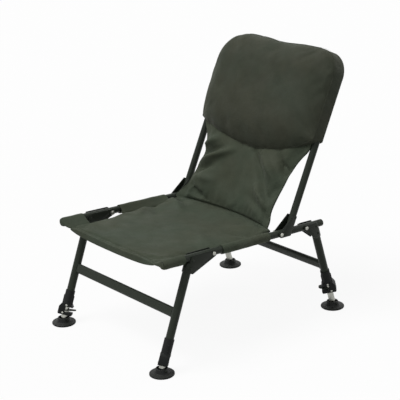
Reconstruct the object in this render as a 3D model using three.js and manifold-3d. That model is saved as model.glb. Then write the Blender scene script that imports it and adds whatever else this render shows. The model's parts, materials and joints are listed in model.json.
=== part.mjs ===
// Carp fishing chair: a low reclining chair with a fabric seat slung between two
// steel rails, a waisted back panel and a head pillow on a bent tube, and two
// folding leg frames with telescopic legs, jam-plate locks and swivelling mud feet.
// Millimetres, +Z up. The sitter faces -Y, and left is the sitter's left, +X.

import * as THREE from "three";
import { mergeVertices } from "three/addons/utils/BufferGeometryUtils.js";
import Module from "manifold-3d";

const wasm = await Module();
wasm.setup();

// Fits and facets
const FIT = 0.3; // gap between two pieces that touch
const OVERRUN = 6; // how far a cut runs past what it cuts
const TUBE_SIDES = 20;
const SMALL_SIDES = 14;
const PIN_SIDES = 10;
const FOOT_SIDES = 24;
const WELD = 1e-4; // corners closer than this are one corner

// Seat rails
const RAIL_SPACING = 494; // between the axes of the two rails
const RAIL_LENGTH = 630;
const RAIL_DIAMETER = 22;
const TUBE_WALL = 1.5;
const RAIL_PITCH = THREE.MathUtils.degToRad(3.1); // front end high
const RAIL_FRONT_HEIGHT = 335.1; // rail axis above the floor at its front end
const CAP_HEAD = 3;
const CAP_PLUG = 12;
const CAP_ROUND = 1;

// Pivots along a rail
const FRONT_PIVOT_AT = 180; // from the front end
const REAR_PIVOT_IN = 74; // from the rear end
const BACK_PIVOT_AHEAD = 104; // of the rear pivot
const BOLT_DIAMETER = 8;
const BOLT_HEAD_DIAMETER = 13;
const BOLT_HEAD_RISE = 4;
const BOLT_END = 1.5; // thread that shows past the nut
const DOME_STEPS = 3;
const NUT_ACROSS_CORNERS = 14.4;
const NUT_HEIGHT = 7;

// Pressed steel brackets that hold each tube astride its rail
const SHEET = 2;
const NOSE_RADIUS = 10.5;
const FRONT_BRACKET_REACH = 68; // down the leg, from the level of the pivot
const REAR_BRACKET_REACH = 57;
const BACK_BRACKET_REACH = 66;
const BRACKET_CORNER = 3;

// Leg frames
const LEG_DIAMETER = 25;
const FRONT_SPLAY = THREE.MathUtils.degToRad(20.8); // foot ahead
const REAR_SPLAY = THREE.MathUtils.degToRad(16.9); // foot behind
const FRONT_LEG_OFFSET = 74; // leg axis ahead of its pivot
const REAR_LEG_OFFSET = 40; // leg axis behind its pivot
const FRONT_LOCK_RISE = 30.6; // floor to the underside of the lock, along the leg
const REAR_LOCK_RISE = 63;
const CROSSBAR_DEPTH = 30;
const CROSSBAR_THICKNESS = 15;
const FRONT_CROSSBAR_LEVEL = 172.7;
const REAR_CROSSBAR_LEVEL = 154;
const INNER_LEG_DIAMETER = 20;
const INNER_LEG_LENGTH = 215;

// Lock on the foot of each leg
const LOCK_LENGTH = 46; // along the lever
const LOCK_WIDTH = 30;
const LOCK_HEIGHT = 36;
const LOCK_SHOULDER_DROP = 12;
const LOCK_SHOULDER_IN = 7;
const LOCK_EDGE = 2.5;
const SLEEVE_HEIGHT = 43;
const SLEEVE_WALL = 2;
const RIB_WIDTH = 8;
const RIB_RISE = 1.6;
const RIB_HEIGHT = 34;
const SLOT_FLOOR = 9;
const SLOT_HEIGHT = 18;
const SLOT_START = 3; // behind the leg axis
const LEDGE = 2; // between the slot and the end of the leg tube
const PLATE_THICKNESS = 3;
const PLATE_WIDTH = 26.4;
const PLATE_TIP_WIDTH = 17;
const PLATE_LENGTH = 48.6;
const PLATE_BACK = 16.2; // from the leg axis to the edge that the plate rocks on
const PLATE_FULCRUM_RISE = 3; // fulcrum above the slot floor
const PLATE_TILT = THREE.MathUtils.degToRad(10);
const PLATE_CORNER = 4;
const PLATE_PLAY = 1; // round the inner leg
const POCKET_PLAY = 1.3; // behind the plate

// Mud feet
const FOOT_DIAMETER = 75;
const FOOT_RIM = 6;
const FOOT_RIM_ROUND = 1.2;
const SOLE_RECESS = 2.5;
const SOLE_RING = 6.5;
const SOLE_PAD_RADIUS = 12;
const HUB_BASE_DIAMETER = 41;
const HUB_TOP_DIAMETER = 35;
const HUB_WALL = 3;
const HUB_HEIGHT = 21;
const HUB_FLOOR = 8;
const HUB_FILLET = 3.5;
const FOOT_PIN_HEIGHT = 16;
const FOOT_PIN_DIAMETER = 5;
const FOOT_PIN_HEAD_DIAMETER = 8;
const FOOT_PIN_HEAD_RISE = 2;
const PIN_CROWN_SHARE = 0.5; // of the head's radius and rise, where its slope starts
const TONGUE_RADIUS = 7;
const TONGUE_WIDTH = 14;
const TIP_SHOULDER = 3; // pin to the end of the inner leg
const TIP_SPIGOT = 16;

// Backrest frame, measured up the tubes from the level of the pivot
const BACK_RECLINE = THREE.MathUtils.degToRad(25.4);
const BACK_TUBE_DIAMETER = 22;
const BACK_TUBE_OFFSET = 34; // tube axis behind its pivot
const BACK_HEIGHT = 560; // to the axis of the top tube
const BACK_BEND_RADIUS = 80;
const BEND_STEPS = 6;

// Pillow round the top of the backrest frame
const PILLOW_WRAP = 2; // fabric outside the tubes at the sides
const PILLOW_OVER = 7; // above the top tube
const PILLOW_FALL = 343; // top edge to the middle of the lower edge
const PILLOW_CORNER_LIFT = 60; // lower corners above the middle
const PILLOW_CORNER_RADIUS = 85;
const LOWER_EDGE_POWER = 2.5; // higher keeps the lower edge level for longer
const PILLOW_BACK = 14; // behind the tube axis
const PILLOW_BACK_CROWN = 3;
const PILLOW_EDGE = 18; // side seam ahead of the tube axis
const PILLOW_CROWN = 57; // middle ahead of the tube axis
const CROWN_POWER = 4; // how flat a padded face stays before its edges
const CROWN_ROUNDING = 0.6; // below 1 makes the edges of the crown fuller
const PILLOW_COLUMNS = 22;
const PILLOW_ROWS = 12;
const TUNNEL_PLAY = 0.6;

// Back panel, a slung padded sheet below the pillow
const PANEL_AHEAD = 15; // front face ahead of the tube axis
const PANEL_SIDE_REACH = 24; // how much further ahead its lower sides are
const PANEL_WAIST_INSET = 53; // from the tube axis to the side of the waist
const PANEL_TOP_INSET = 5;
const PANEL_FLARE = 115; // height of the stretch that widens to the pillow
const PANEL_FLARE_POWER = 2;
const PANEL_DRAW_FROM = 50; // height up to which the sides are fully forward
const PANEL_DRAW_RUN = 150; // height over which they come back
const EDGE_STEPS = 8; // steps in which the upper edge settles under the pillow
const PANEL_FOOT = 18; // lower edge above the level of the pivot
const PANEL_THICKNESS = 9;
const PANEL_EDGE = 3;
const SEAM_GAP = 1;
const PANEL_COLUMNS = 14;
const PANEL_ROWS = 16;

// Seat pad and the sleeves that hold it on the rails, in the frame of the rails
const PAD_INSET = 25; // from the rail axis to the side of the pad
const PAD_LEVEL = 7; // top of the pad below the rail axis
const PAD_SAG = 4;
const PAD_THICKNESS = 16;
const PAD_EDGE = 8;
const PAD_OVERHANG = 22; // middle of its rear edge behind the back pivot
const PAD_CORNER_CUT = 36; // rear corners ahead of the middle of the rear edge
const PAD_CORNER_POWER = 3;
const PAD_REAR_LIFT = 15; // rise to the crease at the back panel
const PAD_REAR_RUN = 110;
const PAD_END_ROWS = 2; // over which the padding thins at each end
const CUTOUT_DEPTH = 16; // round the front brackets
const CUTOUT_AHEAD = 103; // from the front pivot to the front of the cut-out
const CUTOUT_BEHIND = 38; // from the front pivot to the back of the cut-out
const CUTOUT_EDGE = 18;
const SLEEVE_FABRIC = 2;
const SLEEVE_PLAY = 0.5;
const REAR_SLEEVE_SHORT = 45; // from the back pivot to the rear end of the sleeve
const TAB_THICKNESS = 4;
const TAB_LAP = 6;
const TAB_ROOT = 5.5; // from the rail axis, where the tab leaves the sleeve
const PAD_COLUMNS = 12;
const PAD_ROWS = 26;

// Sizes that follow from the ones above
const RAIL_RADIUS = RAIL_DIAMETER / 2;
const LEG_RADIUS = LEG_DIAMETER / 2;
const INNER_LEG_RADIUS = INNER_LEG_DIAMETER / 2;
const BACK_TUBE_RADIUS = BACK_TUBE_DIAMETER / 2;
const BOLT_RADIUS = BOLT_DIAMETER / 2;
const HALF_SPACING = RAIL_SPACING / 2;
const REAR_PIVOT_AT = RAIL_LENGTH - REAR_PIVOT_IN;
const BACK_PIVOT_AT = REAR_PIVOT_AT - BACK_PIVOT_AHEAD;
const PAD_LENGTH = BACK_PIVOT_AT + PAD_OVERHANG;
const SIDES = [
  { side: "left", sign: 1 },
  { side: "right", sign: -1 },
];

// Materials
const frameSteel = new THREE.MeshStandardMaterial({ color: 0x232a25, roughness: 0.45, metalness: 0.4 });
const brightSteel = new THREE.MeshStandardMaterial({ color: 0xb9bcb8, roughness: 0.3, metalness: 0.9 });
const blackPlastic = new THREE.MeshStandardMaterial({ color: 0x191a19, roughness: 0.6, metalness: 0 });
const seatFabric = new THREE.MeshStandardMaterial({ color: 0x4a5143, roughness: 0.9, metalness: 0 });
const pillowFabric = new THREE.MeshStandardMaterial({ color: 0x3a3f33, roughness: 0.9, metalness: 0 });

// Solids: closed geometries that can be joined and cut

function solidOf(geometry) {
  const bare = geometry.clone();
  bare.deleteAttribute("normal");
  bare.deleteAttribute("uv");
  const welded = mergeVertices(bare, WELD);
  const corners = welded.index.array;
  const triVerts = [];
  for (let i = 0; i < corners.length; i += 3) {
    const [a, b, c] = [corners[i], corners[i + 1], corners[i + 2]];
    if (a !== b && b !== c && c !== a) triVerts.push(a, b, c);
  }
  return new wasm.Manifold(
    new wasm.Mesh({
      numProp: 3,
      vertProperties: new Float32Array(welded.attributes.position.array),
      triVerts: new Uint32Array(triVerts),
    }),
  );
}

function meshOf(name, solid, material) {
  const { vertProperties, triVerts, numProp } = solid.getMesh();
  const count = vertProperties.length / numProp;
  const positions = new Float32Array(count * 3);
  for (let i = 0; i < count; i += 1) {
    positions.set(vertProperties.subarray(i * numProp, i * numProp + 3), i * 3);
  }
  const indexed = new THREE.BufferGeometry();
  indexed.setAttribute("position", new THREE.BufferAttribute(positions, 3));
  indexed.setIndex(new THREE.BufferAttribute(new Uint32Array(triVerts), 1));
  const geometry = indexed.toNonIndexed();
  geometry.computeVertexNormals();
  const mesh = new THREE.Mesh(geometry, material);
  mesh.name = name;
  return mesh;
}

const AXES = {
  x: new THREE.Vector3(1, 0, 0),
  y: new THREE.Vector3(0, 1, 0),
  z: new THREE.Vector3(0, 0, 1),
};

// A round rod from one coordinate to another along an axis, through a centre.
function rod(radius, axis, from, to, centre = new THREE.Vector3(), sides = TUBE_SIDES) {
  const geometry = new THREE.CylinderGeometry(radius, radius, to - from, sides);
  const turn = new THREE.Quaternion().setFromUnitVectors(AXES.y, AXES[axis]);
  geometry.applyQuaternion(turn);
  const middle = centre.clone().addScaledVector(AXES[axis], (from + to) / 2);
  geometry.translate(middle.x, middle.y, middle.z);
  return solidOf(geometry);
}

function block(xFrom, xTo, yFrom, yTo, zFrom, zTo) {
  const geometry = new THREE.BoxGeometry(xTo - xFrom, yTo - yFrom, zTo - zFrom);
  geometry.translate((xFrom + xTo) / 2, (yFrom + yTo) / 2, (zFrom + zTo) / 2);
  return solidOf(geometry);
}

// A profile of [radius, height] points turned round Z. It runs up the outside.
function turned(profile, sides = TUBE_SIDES) {
  const geometry = new THREE.LatheGeometry(profile.map(([r, h]) => new THREE.Vector2(r, h)), sides);
  geometry.rotateX(Math.PI / 2);
  return solidOf(geometry);
}

const pipe = (outer, inner, from, to, sides = TUBE_SIDES) =>
  turned([[inner, from], [outer, from], [outer, to], [inner, to], [inner, from]], sides);

// A shape drawn in Y and Z, swept across X.
function across(shape, xFrom, xTo) {
  const geometry = new THREE.ExtrudeGeometry(shape, {
    depth: xTo - xFrom,
    bevelEnabled: false,
    curveSegments: BEND_STEPS,
  });
  geometry.applyMatrix4(new THREE.Matrix4().makeBasis(AXES.y, AXES.z, AXES.x));
  geometry.translate(xFrom, 0, 0);
  return solidOf(geometry);
}

// A shape drawn in X and Z, swept along Y.
function lengthwise(shape, yFrom, yTo) {
  const geometry = new THREE.ExtrudeGeometry(shape, { depth: yTo - yFrom, bevelEnabled: false });
  geometry.applyMatrix4(new THREE.Matrix4().makeBasis(AXES.x, AXES.z, AXES.y.clone().negate()));
  geometry.translate(0, yTo, 0);
  return solidOf(geometry);
}

// A shape drawn in X and Y, swept up Z.
function upright(shape, zFrom, zTo) {
  const geometry = new THREE.ExtrudeGeometry(shape, { depth: zTo - zFrom, bevelEnabled: false });
  geometry.translate(0, 0, zFrom);
  return solidOf(geometry);
}

const outline = (points) => new THREE.Shape(points.map(([x, y]) => new THREE.Vector2(x, y)));

// A closed sheet between two faces, each a function of u and v from 0 to 1.
// The front face looks along the cross product of its u and v directions.
function sheet(columns, rows, front, back) {
  const positions = [];
  const index = [];
  for (const face of [front, back]) {
    for (let i = 0; i <= columns; i += 1) {
      for (let j = 0; j <= rows; j += 1) positions.push(...face(i / columns, j / rows));
    }
  }
  const half = (columns + 1) * (rows + 1);
  const at = (i, j) => i * (rows + 1) + j;
  for (let i = 0; i < columns; i += 1) {
    for (let j = 0; j < rows; j += 1) {
      const [a, b, c, d] = [at(i, j), at(i + 1, j), at(i + 1, j + 1), at(i, j + 1)];
      index.push(a, b, c, a, c, d);
      index.push(half + a, half + c, half + b, half + a, half + d, half + c);
    }
  }
  const border = [];
  for (let i = 0; i < columns; i += 1) border.push(at(i, 0));
  for (let j = 0; j < rows; j += 1) border.push(at(columns, j));
  for (let i = columns; i > 0; i -= 1) border.push(at(i, rows));
  for (let j = rows; j > 0; j -= 1) border.push(at(0, j));
  border.forEach((a, k) => {
    const b = border[(k + 1) % border.length];
    index.push(half + a, half + b, b, half + a, b, a);
  });
  const geometry = new THREE.BufferGeometry();
  geometry.setAttribute("position", new THREE.Float32BufferAttribute(positions, 3));
  geometry.setIndex(index);
  return solidOf(geometry);
}

// A path that is stepped through point by point, so that straight runs take one step.
class SteppedPath extends THREE.Curve {
  constructor(stations) {
    super();
    this.stations = stations;
  }

  getPointAt(u, target = new THREE.Vector3()) {
    return target.copy(this.stations[Math.round(u * (this.stations.length - 1))].point);
  }

  getTangentAt(u, target = new THREE.Vector3()) {
    return target.copy(this.stations[Math.round(u * (this.stations.length - 1))].tangent);
  }
}

const smooth = (value) => THREE.MathUtils.smoothstep(value, 0, 1);

// Frames of the chair: the rails lie along Y, each tube along Z of its pivot's group

const chair = new THREE.Group();
const rails = new THREE.Group();
rails.position.set(0, 0, RAIL_FRONT_HEIGHT);
rails.rotation.x = -RAIL_PITCH;
chair.add(rails);

function pivotGroup(along, lean) {
  const group = new THREE.Group();
  group.position.set(
    0,
    along * Math.cos(RAIL_PITCH),
    RAIL_FRONT_HEIGHT - along * Math.sin(RAIL_PITCH),
  );
  group.rotation.x = lean;
  chair.add(group);
  return group;
}

const frontLegs = pivotGroup(FRONT_PIVOT_AT, -FRONT_SPLAY);
const rearLegs = pivotGroup(REAR_PIVOT_AT, REAR_SPLAY);
const backrest = pivotGroup(BACK_PIVOT_AT, -BACK_RECLINE);

// Seat rails with their end caps

function seatRail() {
  const tube = pipe(RAIL_RADIUS, RAIL_RADIUS - TUBE_WALL, 0, RAIL_LENGTH).rotate([-90, 0, 0]);
  return [FRONT_PIVOT_AT, BACK_PIVOT_AT, REAR_PIVOT_AT].reduce((rail, at) => {
    const centre = new THREE.Vector3(0, at, 0);
    const reach = RAIL_RADIUS + OVERRUN;
    return rail.subtract(rod(BOLT_RADIUS + FIT, "x", -reach, reach, centre, PIN_SIDES));
  }, tube);
}

// A plastic cap with its head at Z = 0 to -CAP_HEAD and its plug above.
function railCap() {
  const plug = RAIL_RADIUS - TUBE_WALL - FIT;
  return turned([
    [0, -CAP_HEAD],
    [RAIL_RADIUS - CAP_ROUND, -CAP_HEAD],
    [RAIL_RADIUS, CAP_ROUND - CAP_HEAD],
    [RAIL_RADIUS, -FIT],
    [plug, -FIT],
    [plug, CAP_PLUG],
    [0, CAP_PLUG],
  ], SMALL_SIDES);
}

for (const { side, sign } of SIDES) {
  const rail = meshOf(`seat_rail_${side}`, seatRail(), frameSteel);
  rail.position.x = sign * HALF_SPACING;
  rails.add(rail);
  const frontCap = meshOf(`rail_cap_front_${side}`, railCap(), blackPlastic);
  frontCap.position.set(sign * HALF_SPACING, 0, 0);
  frontCap.rotation.x = -Math.PI / 2;
  const rearCap = meshOf(`rail_cap_rear_${side}`, railCap(), blackPlastic);
  rearCap.position.set(sign * HALF_SPACING, RAIL_LENGTH, 0);
  rearCap.rotation.x = Math.PI / 2;
  rails.add(frontCap, rearCap);
}

// Pivot bolts: a domed head outside, a nut inside, through the bracket and the rail

function pivotBolt(gripHalf) {
  const headRadius = BOLT_HEAD_DIAMETER / 2;
  const shankEnd = -(gripHalf + FIT + NUT_HEIGHT + BOLT_END);
  const seat = gripHalf + FIT;
  const profile = [[0, shankEnd], [BOLT_RADIUS, shankEnd], [BOLT_RADIUS, seat], [headRadius, seat]];
  for (let k = 1; k <= DOME_STEPS; k += 1) {
    const turn = (k / DOME_STEPS) * (Math.PI / 2);
    const radius = k < DOME_STEPS ? headRadius * Math.cos(turn) : 0;
    profile.push([radius, seat + BOLT_HEAD_RISE * Math.sin(turn)]);
  }
  const nutFrom = -(gripHalf + FIT + NUT_HEIGHT);
  const nut = rod(NUT_ACROSS_CORNERS / 2, "z", nutFrom, -(gripHalf + FIT), new THREE.Vector3(), 6);
  return turned(profile, PIN_SIDES).add(nut);
}

const LEG_GRIP = LEG_RADIUS + FIT + SHEET;
const BACK_GRIP = BACK_TUBE_RADIUS + FIT + SHEET;
const BOLTS = [
  { place: "front", at: FRONT_PIVOT_AT, grip: LEG_GRIP },
  { place: "back", at: BACK_PIVOT_AT, grip: BACK_GRIP },
  { place: "rear", at: REAR_PIVOT_AT, grip: LEG_GRIP },
];
for (const { place, at, grip } of BOLTS) {
  for (const { side, sign } of SIDES) {
    const bolt = meshOf(`pivot_bolt_${place}_${side}`, pivotBolt(grip), brightSteel);
    bolt.position.set(sign * HALF_SPACING, at, 0);
    bolt.rotation.y = (sign * Math.PI) / 2;
    rails.add(bolt);
  }
}

// Tubes that stand astride a rail. Each has its own frame: U from the pivot to the
// tube's axis, W along the tube away from the rail. The rail crosses it at an angle.

// How far along W a square-ended tube starts, so that it just clears the rail.
function tubeStart(offset, radius, angle) {
  return (offset + radius) * Math.tan(angle) + (RAIL_RADIUS + FIT) / Math.cos(angle);
}

// Outline of a bracket's side plate in U and W, from the nose round the pivot bolt.
function plateOutline(offset, radius, angle, reach) {
  const front = offset - radius;
  const far = offset + radius + FIT + SHEET;
  const lipTurn = angle - Math.PI / 2;
  const cornerDistance = Math.hypot(front, reach);
  const edgeTurn = Math.atan2(reach, front) + Math.acos(NOSE_RADIUS / cornerDistance);
  const slope = Math.tan(angle);
  const lip = (u) => u * slope - NOSE_RADIUS / Math.cos(angle);
  const shape = new THREE.Shape();
  shape.moveTo(NOSE_RADIUS * Math.cos(lipTurn), NOSE_RADIUS * Math.sin(lipTurn));
  shape.lineTo(far, lip(far));
  shape.lineTo(far, reach - BRACKET_CORNER);
  shape.lineTo(far - BRACKET_CORNER, reach);
  shape.lineTo(front, reach);
  shape.lineTo(NOSE_RADIUS * Math.cos(edgeTurn), NOSE_RADIUS * Math.sin(edgeTurn));
  shape.absarc(0, 0, NOSE_RADIUS, edgeTurn, lipTurn + 2 * Math.PI, false);
  return shape;
}

// A bracket in its U and W frame, where U is Y and W is Z: two plates beside the
// rail and a web that wraps the far side of the tube and stops on the rail.
function bracket(offset, radius, angle, reach) {
  const inner = radius + FIT;
  const outer = inner + SHEET;
  const axis = new THREE.Vector3(0, offset, 0);
  const long = reach + offset + outer;
  const plates = across(plateOutline(offset, radius, angle, reach), -outer, outer);
  const wrap = rod(outer, "z", -long, long, axis).add(block(-outer, outer, -long, offset, -long, long));
  const channel = rod(inner, "z", -long, long, axis).add(block(-inner, inner, -long, offset, -long, long));
  const railTop = (RAIL_RADIUS + FIT) / Math.cos(angle);
  const beside = outline([
    [-long, -long * Math.tan(angle) + railTop],
    [-long, -long * 2],
    [long, -long * 2],
    [long, long * Math.tan(angle) + railTop],
  ]);
  const railWay = across(beside, -inner, inner);
  const boltWay = rod(BOLT_RADIUS + FIT, "x", -outer - OVERRUN, outer + OVERRUN, undefined, PIN_SIDES);
  return plates.intersect(wrap).subtract(channel).subtract(railWay).subtract(boltWay);
}

// Leg frames. Down the leg is -Z of the group, and ahead is -1, behind is +1.

const LEG_FRAMES = [
  {
    place: "front",
    group: frontLegs,
    facing: -1,
    splay: FRONT_SPLAY,
    offset: FRONT_LEG_OFFSET,
    angle: FRONT_SPLAY - RAIL_PITCH,
    reach: FRONT_BRACKET_REACH,
    lockRise: FRONT_LOCK_RISE,
    crossbarLevel: FRONT_CROSSBAR_LEVEL,
  },
  {
    place: "rear",
    group: rearLegs,
    facing: 1,
    splay: REAR_SPLAY,
    offset: REAR_LEG_OFFSET,
    angle: REAR_SPLAY + RAIL_PITCH,
    reach: REAR_BRACKET_REACH,
    lockRise: REAR_LOCK_RISE,
    crossbarLevel: REAR_CROSSBAR_LEVEL,
  },
];

// Lock housing: a moulded block with a sleeve for the leg above it. Z = 0 is its
// underside, the leg's axis is Z and the lever points along +X.
const SLOT_TOP = SLOT_FLOOR + SLOT_HEIGHT;
const LEG_SEAT = SLOT_TOP + LEDGE;
const LOCK_TOP = LOCK_HEIGHT + SLEEVE_HEIGHT;
const FULCRUM_HEIGHT = SLOT_FLOOR + PLATE_FULCRUM_RISE;

function lockHousing() {
  const halfLength = LOCK_LENGTH / 2;
  const halfWidth = LOCK_WIDTH / 2;
  const legBore = LEG_RADIUS + FIT;
  const sleeve = legBore + SLEEVE_WALL;
  const shoulder = LOCK_HEIGHT - LOCK_SHOULDER_DROP;
  const side = outline([
    [-halfLength + LOCK_EDGE, 0],
    [halfLength - LOCK_EDGE, 0],
    [halfLength, LOCK_EDGE],
    [halfLength, shoulder],
    [halfLength - LOCK_SHOULDER_IN, LOCK_HEIGHT],
    [-halfLength + LOCK_SHOULDER_IN, LOCK_HEIGHT],
    [-halfLength, shoulder],
    [-halfLength, LOCK_EDGE],
  ]);
  const plan = outline([
    [-halfLength, -halfWidth + LOCK_EDGE],
    [-halfLength + LOCK_EDGE, -halfWidth],
    [halfLength - LOCK_EDGE, -halfWidth],
    [halfLength, -halfWidth + LOCK_EDGE],
    [halfLength, halfWidth - LOCK_EDGE],
    [halfLength - LOCK_EDGE, halfWidth],
    [-halfLength + LOCK_EDGE, halfWidth],
    [-halfLength, halfWidth - LOCK_EDGE],
  ]);
  const body = lengthwise(side, -halfWidth, halfWidth).intersect(upright(plan, 0, LOCK_HEIGHT));
  const collar = rod(sleeve, "z", LOCK_HEIGHT - LOCK_SHOULDER_DROP, LOCK_TOP);
  const ribTop = LOCK_HEIGHT + RIB_HEIGHT;
  const rib = outline([
    [-sleeve - RIB_RISE, shoulder],
    [sleeve + RIB_RISE, shoulder],
    [sleeve + RIB_RISE, ribTop - RIB_WIDTH],
    [0, ribTop],
    [-sleeve - RIB_RISE, ribTop - RIB_WIDTH],
  ]);
  const ribs = lengthwise(rib, -RIB_WIDTH / 2, RIB_WIDTH / 2);
  const legWay = rod(legBore, "z", LEG_SEAT, LOCK_TOP + OVERRUN);
  const innerWay = rod(INNER_LEG_RADIUS + FIT, "z", -OVERRUN, LEG_SEAT + LEDGE);
  const slot = block(-SLOT_START, halfLength + OVERRUN, -halfWidth - OVERRUN, halfWidth + OVERRUN, SLOT_FLOOR, SLOT_TOP);
  const pocketHalf = PLATE_WIDTH / 2 + FIT;
  const pocketTop = FULCRUM_HEIGHT + PLATE_THICKNESS + PLATE_BACK * Math.tan(PLATE_TILT);
  const pocket = block(-PLATE_BACK - POCKET_PLAY, 0, -pocketHalf, pocketHalf, SLOT_FLOOR, pocketTop);
  return body.add(collar).add(ribs).subtract(legWay).subtract(innerWay).subtract(slot).subtract(pocket);
}

// Jam plate: it rocks on its back edge, which is the origin here, and its hole
// grips the inner leg while the tip stands up.
function jamPlate() {
  const half = PLATE_WIDTH / 2;
  const tip = PLATE_TIP_WIDTH / 2;
  const taperFrom = PLATE_BACK + INNER_LEG_RADIUS + PLATE_CORNER;
  const shape = outline([
    [0, -half],
    [taperFrom, -half],
    [PLATE_LENGTH - PLATE_CORNER, -tip],
    [PLATE_LENGTH, -tip + PLATE_CORNER],
    [PLATE_LENGTH, tip - PLATE_CORNER],
    [PLATE_LENGTH - PLATE_CORNER, tip],
    [taperFrom, half],
    [0, half],
  ]);
  const plate = upright(shape, -PLATE_THICKNESS / 2, PLATE_THICKNESS / 2);
  const centre = new THREE.Vector3(PLATE_BACK / Math.cos(PLATE_TILT / 2), 0, 0);
  const hole = rod(INNER_LEG_RADIUS + PLATE_PLAY, "z", -OVERRUN, OVERRUN, centre);
  return plate.subtract(hole);
}

// Inner leg: a bright tube that slides in the leg, from its lower end at Z = 0.
const innerLeg = () => pipe(INNER_LEG_RADIUS, INNER_LEG_RADIUS - TUBE_WALL, 0, INNER_LEG_LENGTH);

// Leg tip: a plug in the inner leg with a tongue that the foot's pin goes through.
// The pin is at the origin.
function legTip() {
  const shoulderRadius = TONGUE_WIDTH / 2;
  const spigot = rod(
    INNER_LEG_RADIUS - TUBE_WALL - FIT,
    "z",
    TIP_SHOULDER - FIT,
    TIP_SHOULDER + TIP_SPIGOT,
    new THREE.Vector3(),
    SMALL_SIDES,
  );
  const side = new THREE.Shape();
  side.moveTo(-TONGUE_RADIUS, TIP_SHOULDER);
  side.lineTo(-TONGUE_RADIUS, 0);
  side.absarc(0, 0, TONGUE_RADIUS, Math.PI, 2 * Math.PI, false);
  side.lineTo(TONGUE_RADIUS, TIP_SHOULDER);
  const tongue = across(side, -shoulderRadius, shoulderRadius);
  const pinWay = rod(
    FOOT_PIN_DIAMETER / 2 + FIT,
    "x",
    -shoulderRadius - OVERRUN,
    shoulderRadius + OVERRUN,
    new THREE.Vector3(),
    PIN_SIDES,
  );
  return tongue.add(spigot).subtract(pinWay);
}

// From the middle of the foot to the flat that each head of its pin seats on
const PIN_SPOT = HUB_TOP_DIAMETER / 2 + FOOT_PIN_HEAD_RISE / 2;

// Mud foot: a wide disc with a hollow hub, standing on Z = 0.
function mudFoot() {
  const rim = FOOT_DIAMETER / 2;
  const hubBase = HUB_BASE_DIAMETER / 2;
  const hubTop = HUB_TOP_DIAMETER / 2;
  const cavity = hubTop - HUB_WALL;
  const foot = turned(
    [
      [0, 0],
      [SOLE_PAD_RADIUS, 0],
      [SOLE_PAD_RADIUS + SOLE_RECESS, SOLE_RECESS],
      [rim - SOLE_RING - SOLE_RECESS, SOLE_RECESS],
      [rim - SOLE_RING, 0],
      [rim - FOOT_RIM_ROUND, 0],
      [rim, FOOT_RIM_ROUND],
      [rim, FOOT_RIM - FOOT_RIM_ROUND],
      [rim - FOOT_RIM_ROUND, FOOT_RIM],
      [hubBase + HUB_FILLET, FOOT_RIM + FOOT_RIM_ROUND],
      [hubBase, FOOT_RIM + FOOT_RIM_ROUND + HUB_FILLET],
      [hubTop + FOOT_RIM_ROUND, HUB_HEIGHT - FOOT_RIM_ROUND],
      [hubTop, HUB_HEIGHT],
      [cavity, HUB_HEIGHT],
      [cavity, HUB_FLOOR],
      [0, HUB_FLOOR],
    ],
    FOOT_SIDES,
  );
  const centre = new THREE.Vector3(0, 0, FOOT_PIN_HEIGHT);
  const pinWay = rod(FOOT_PIN_DIAMETER / 2 + FIT, "x", -rim, rim, centre, PIN_SIDES);
  const spotRadius = FOOT_PIN_HEAD_DIAMETER / 2 + FIT;
  const spots = SIDES.map(({ sign }) => {
    const [from, to] = sign > 0 ? [PIN_SPOT, rim] : [-rim, -PIN_SPOT];
    return rod(spotRadius, "x", from, to, centre, PIN_SIDES);
  });
  return foot.subtract(pinWay).subtract(spots[0]).subtract(spots[1]);
}

// Foot pin: a rivet with a low head at each end, along X.
function footPin() {
  const head = FOOT_PIN_HEAD_DIAMETER / 2;
  const seat = PIN_SPOT + FIT;
  const tip = seat + FOOT_PIN_HEAD_RISE;
  const shank = FOOT_PIN_DIAMETER / 2;
  const crown = head * PIN_CROWN_SHARE;
  const edge = seat + FOOT_PIN_HEAD_RISE * PIN_CROWN_SHARE;
  return turned(
    [
      [0, -tip],
      [crown, -tip],
      [head, -edge],
      [head, -seat],
      [shank, -seat],
      [shank, seat],
      [head, seat],
      [head, edge],
      [crown, tip],
      [0, tip],
    ],
    PIN_SIDES,
  );
}

// Crossbar: a flat oval tube between the legs of a frame, coped to their round sides.
function crossbar() {
  const half = HALF_SPACING - LEG_RADIUS / 2;
  const straight = (CROSSBAR_DEPTH - CROSSBAR_THICKNESS) / 2;
  const oval = (path, radius) => {
    path.absarc(0, straight, radius, 0, Math.PI, false);
    path.absarc(0, -straight, radius, Math.PI, 2 * Math.PI, false);
    return path;
  };
  const section = oval(new THREE.Shape(), CROSSBAR_THICKNESS / 2);
  section.holes.push(oval(new THREE.Path(), CROSSBAR_THICKNESS / 2 - TUBE_WALL));
  return SIDES.reduce((bar, { sign }) => {
    const centre = new THREE.Vector3(sign * HALF_SPACING, 0, 0);
    return bar.subtract(rod(LEG_RADIUS + FIT, "z", -CROSSBAR_DEPTH, CROSSBAR_DEPTH, centre));
  }, across(section, -half, half));
}

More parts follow.
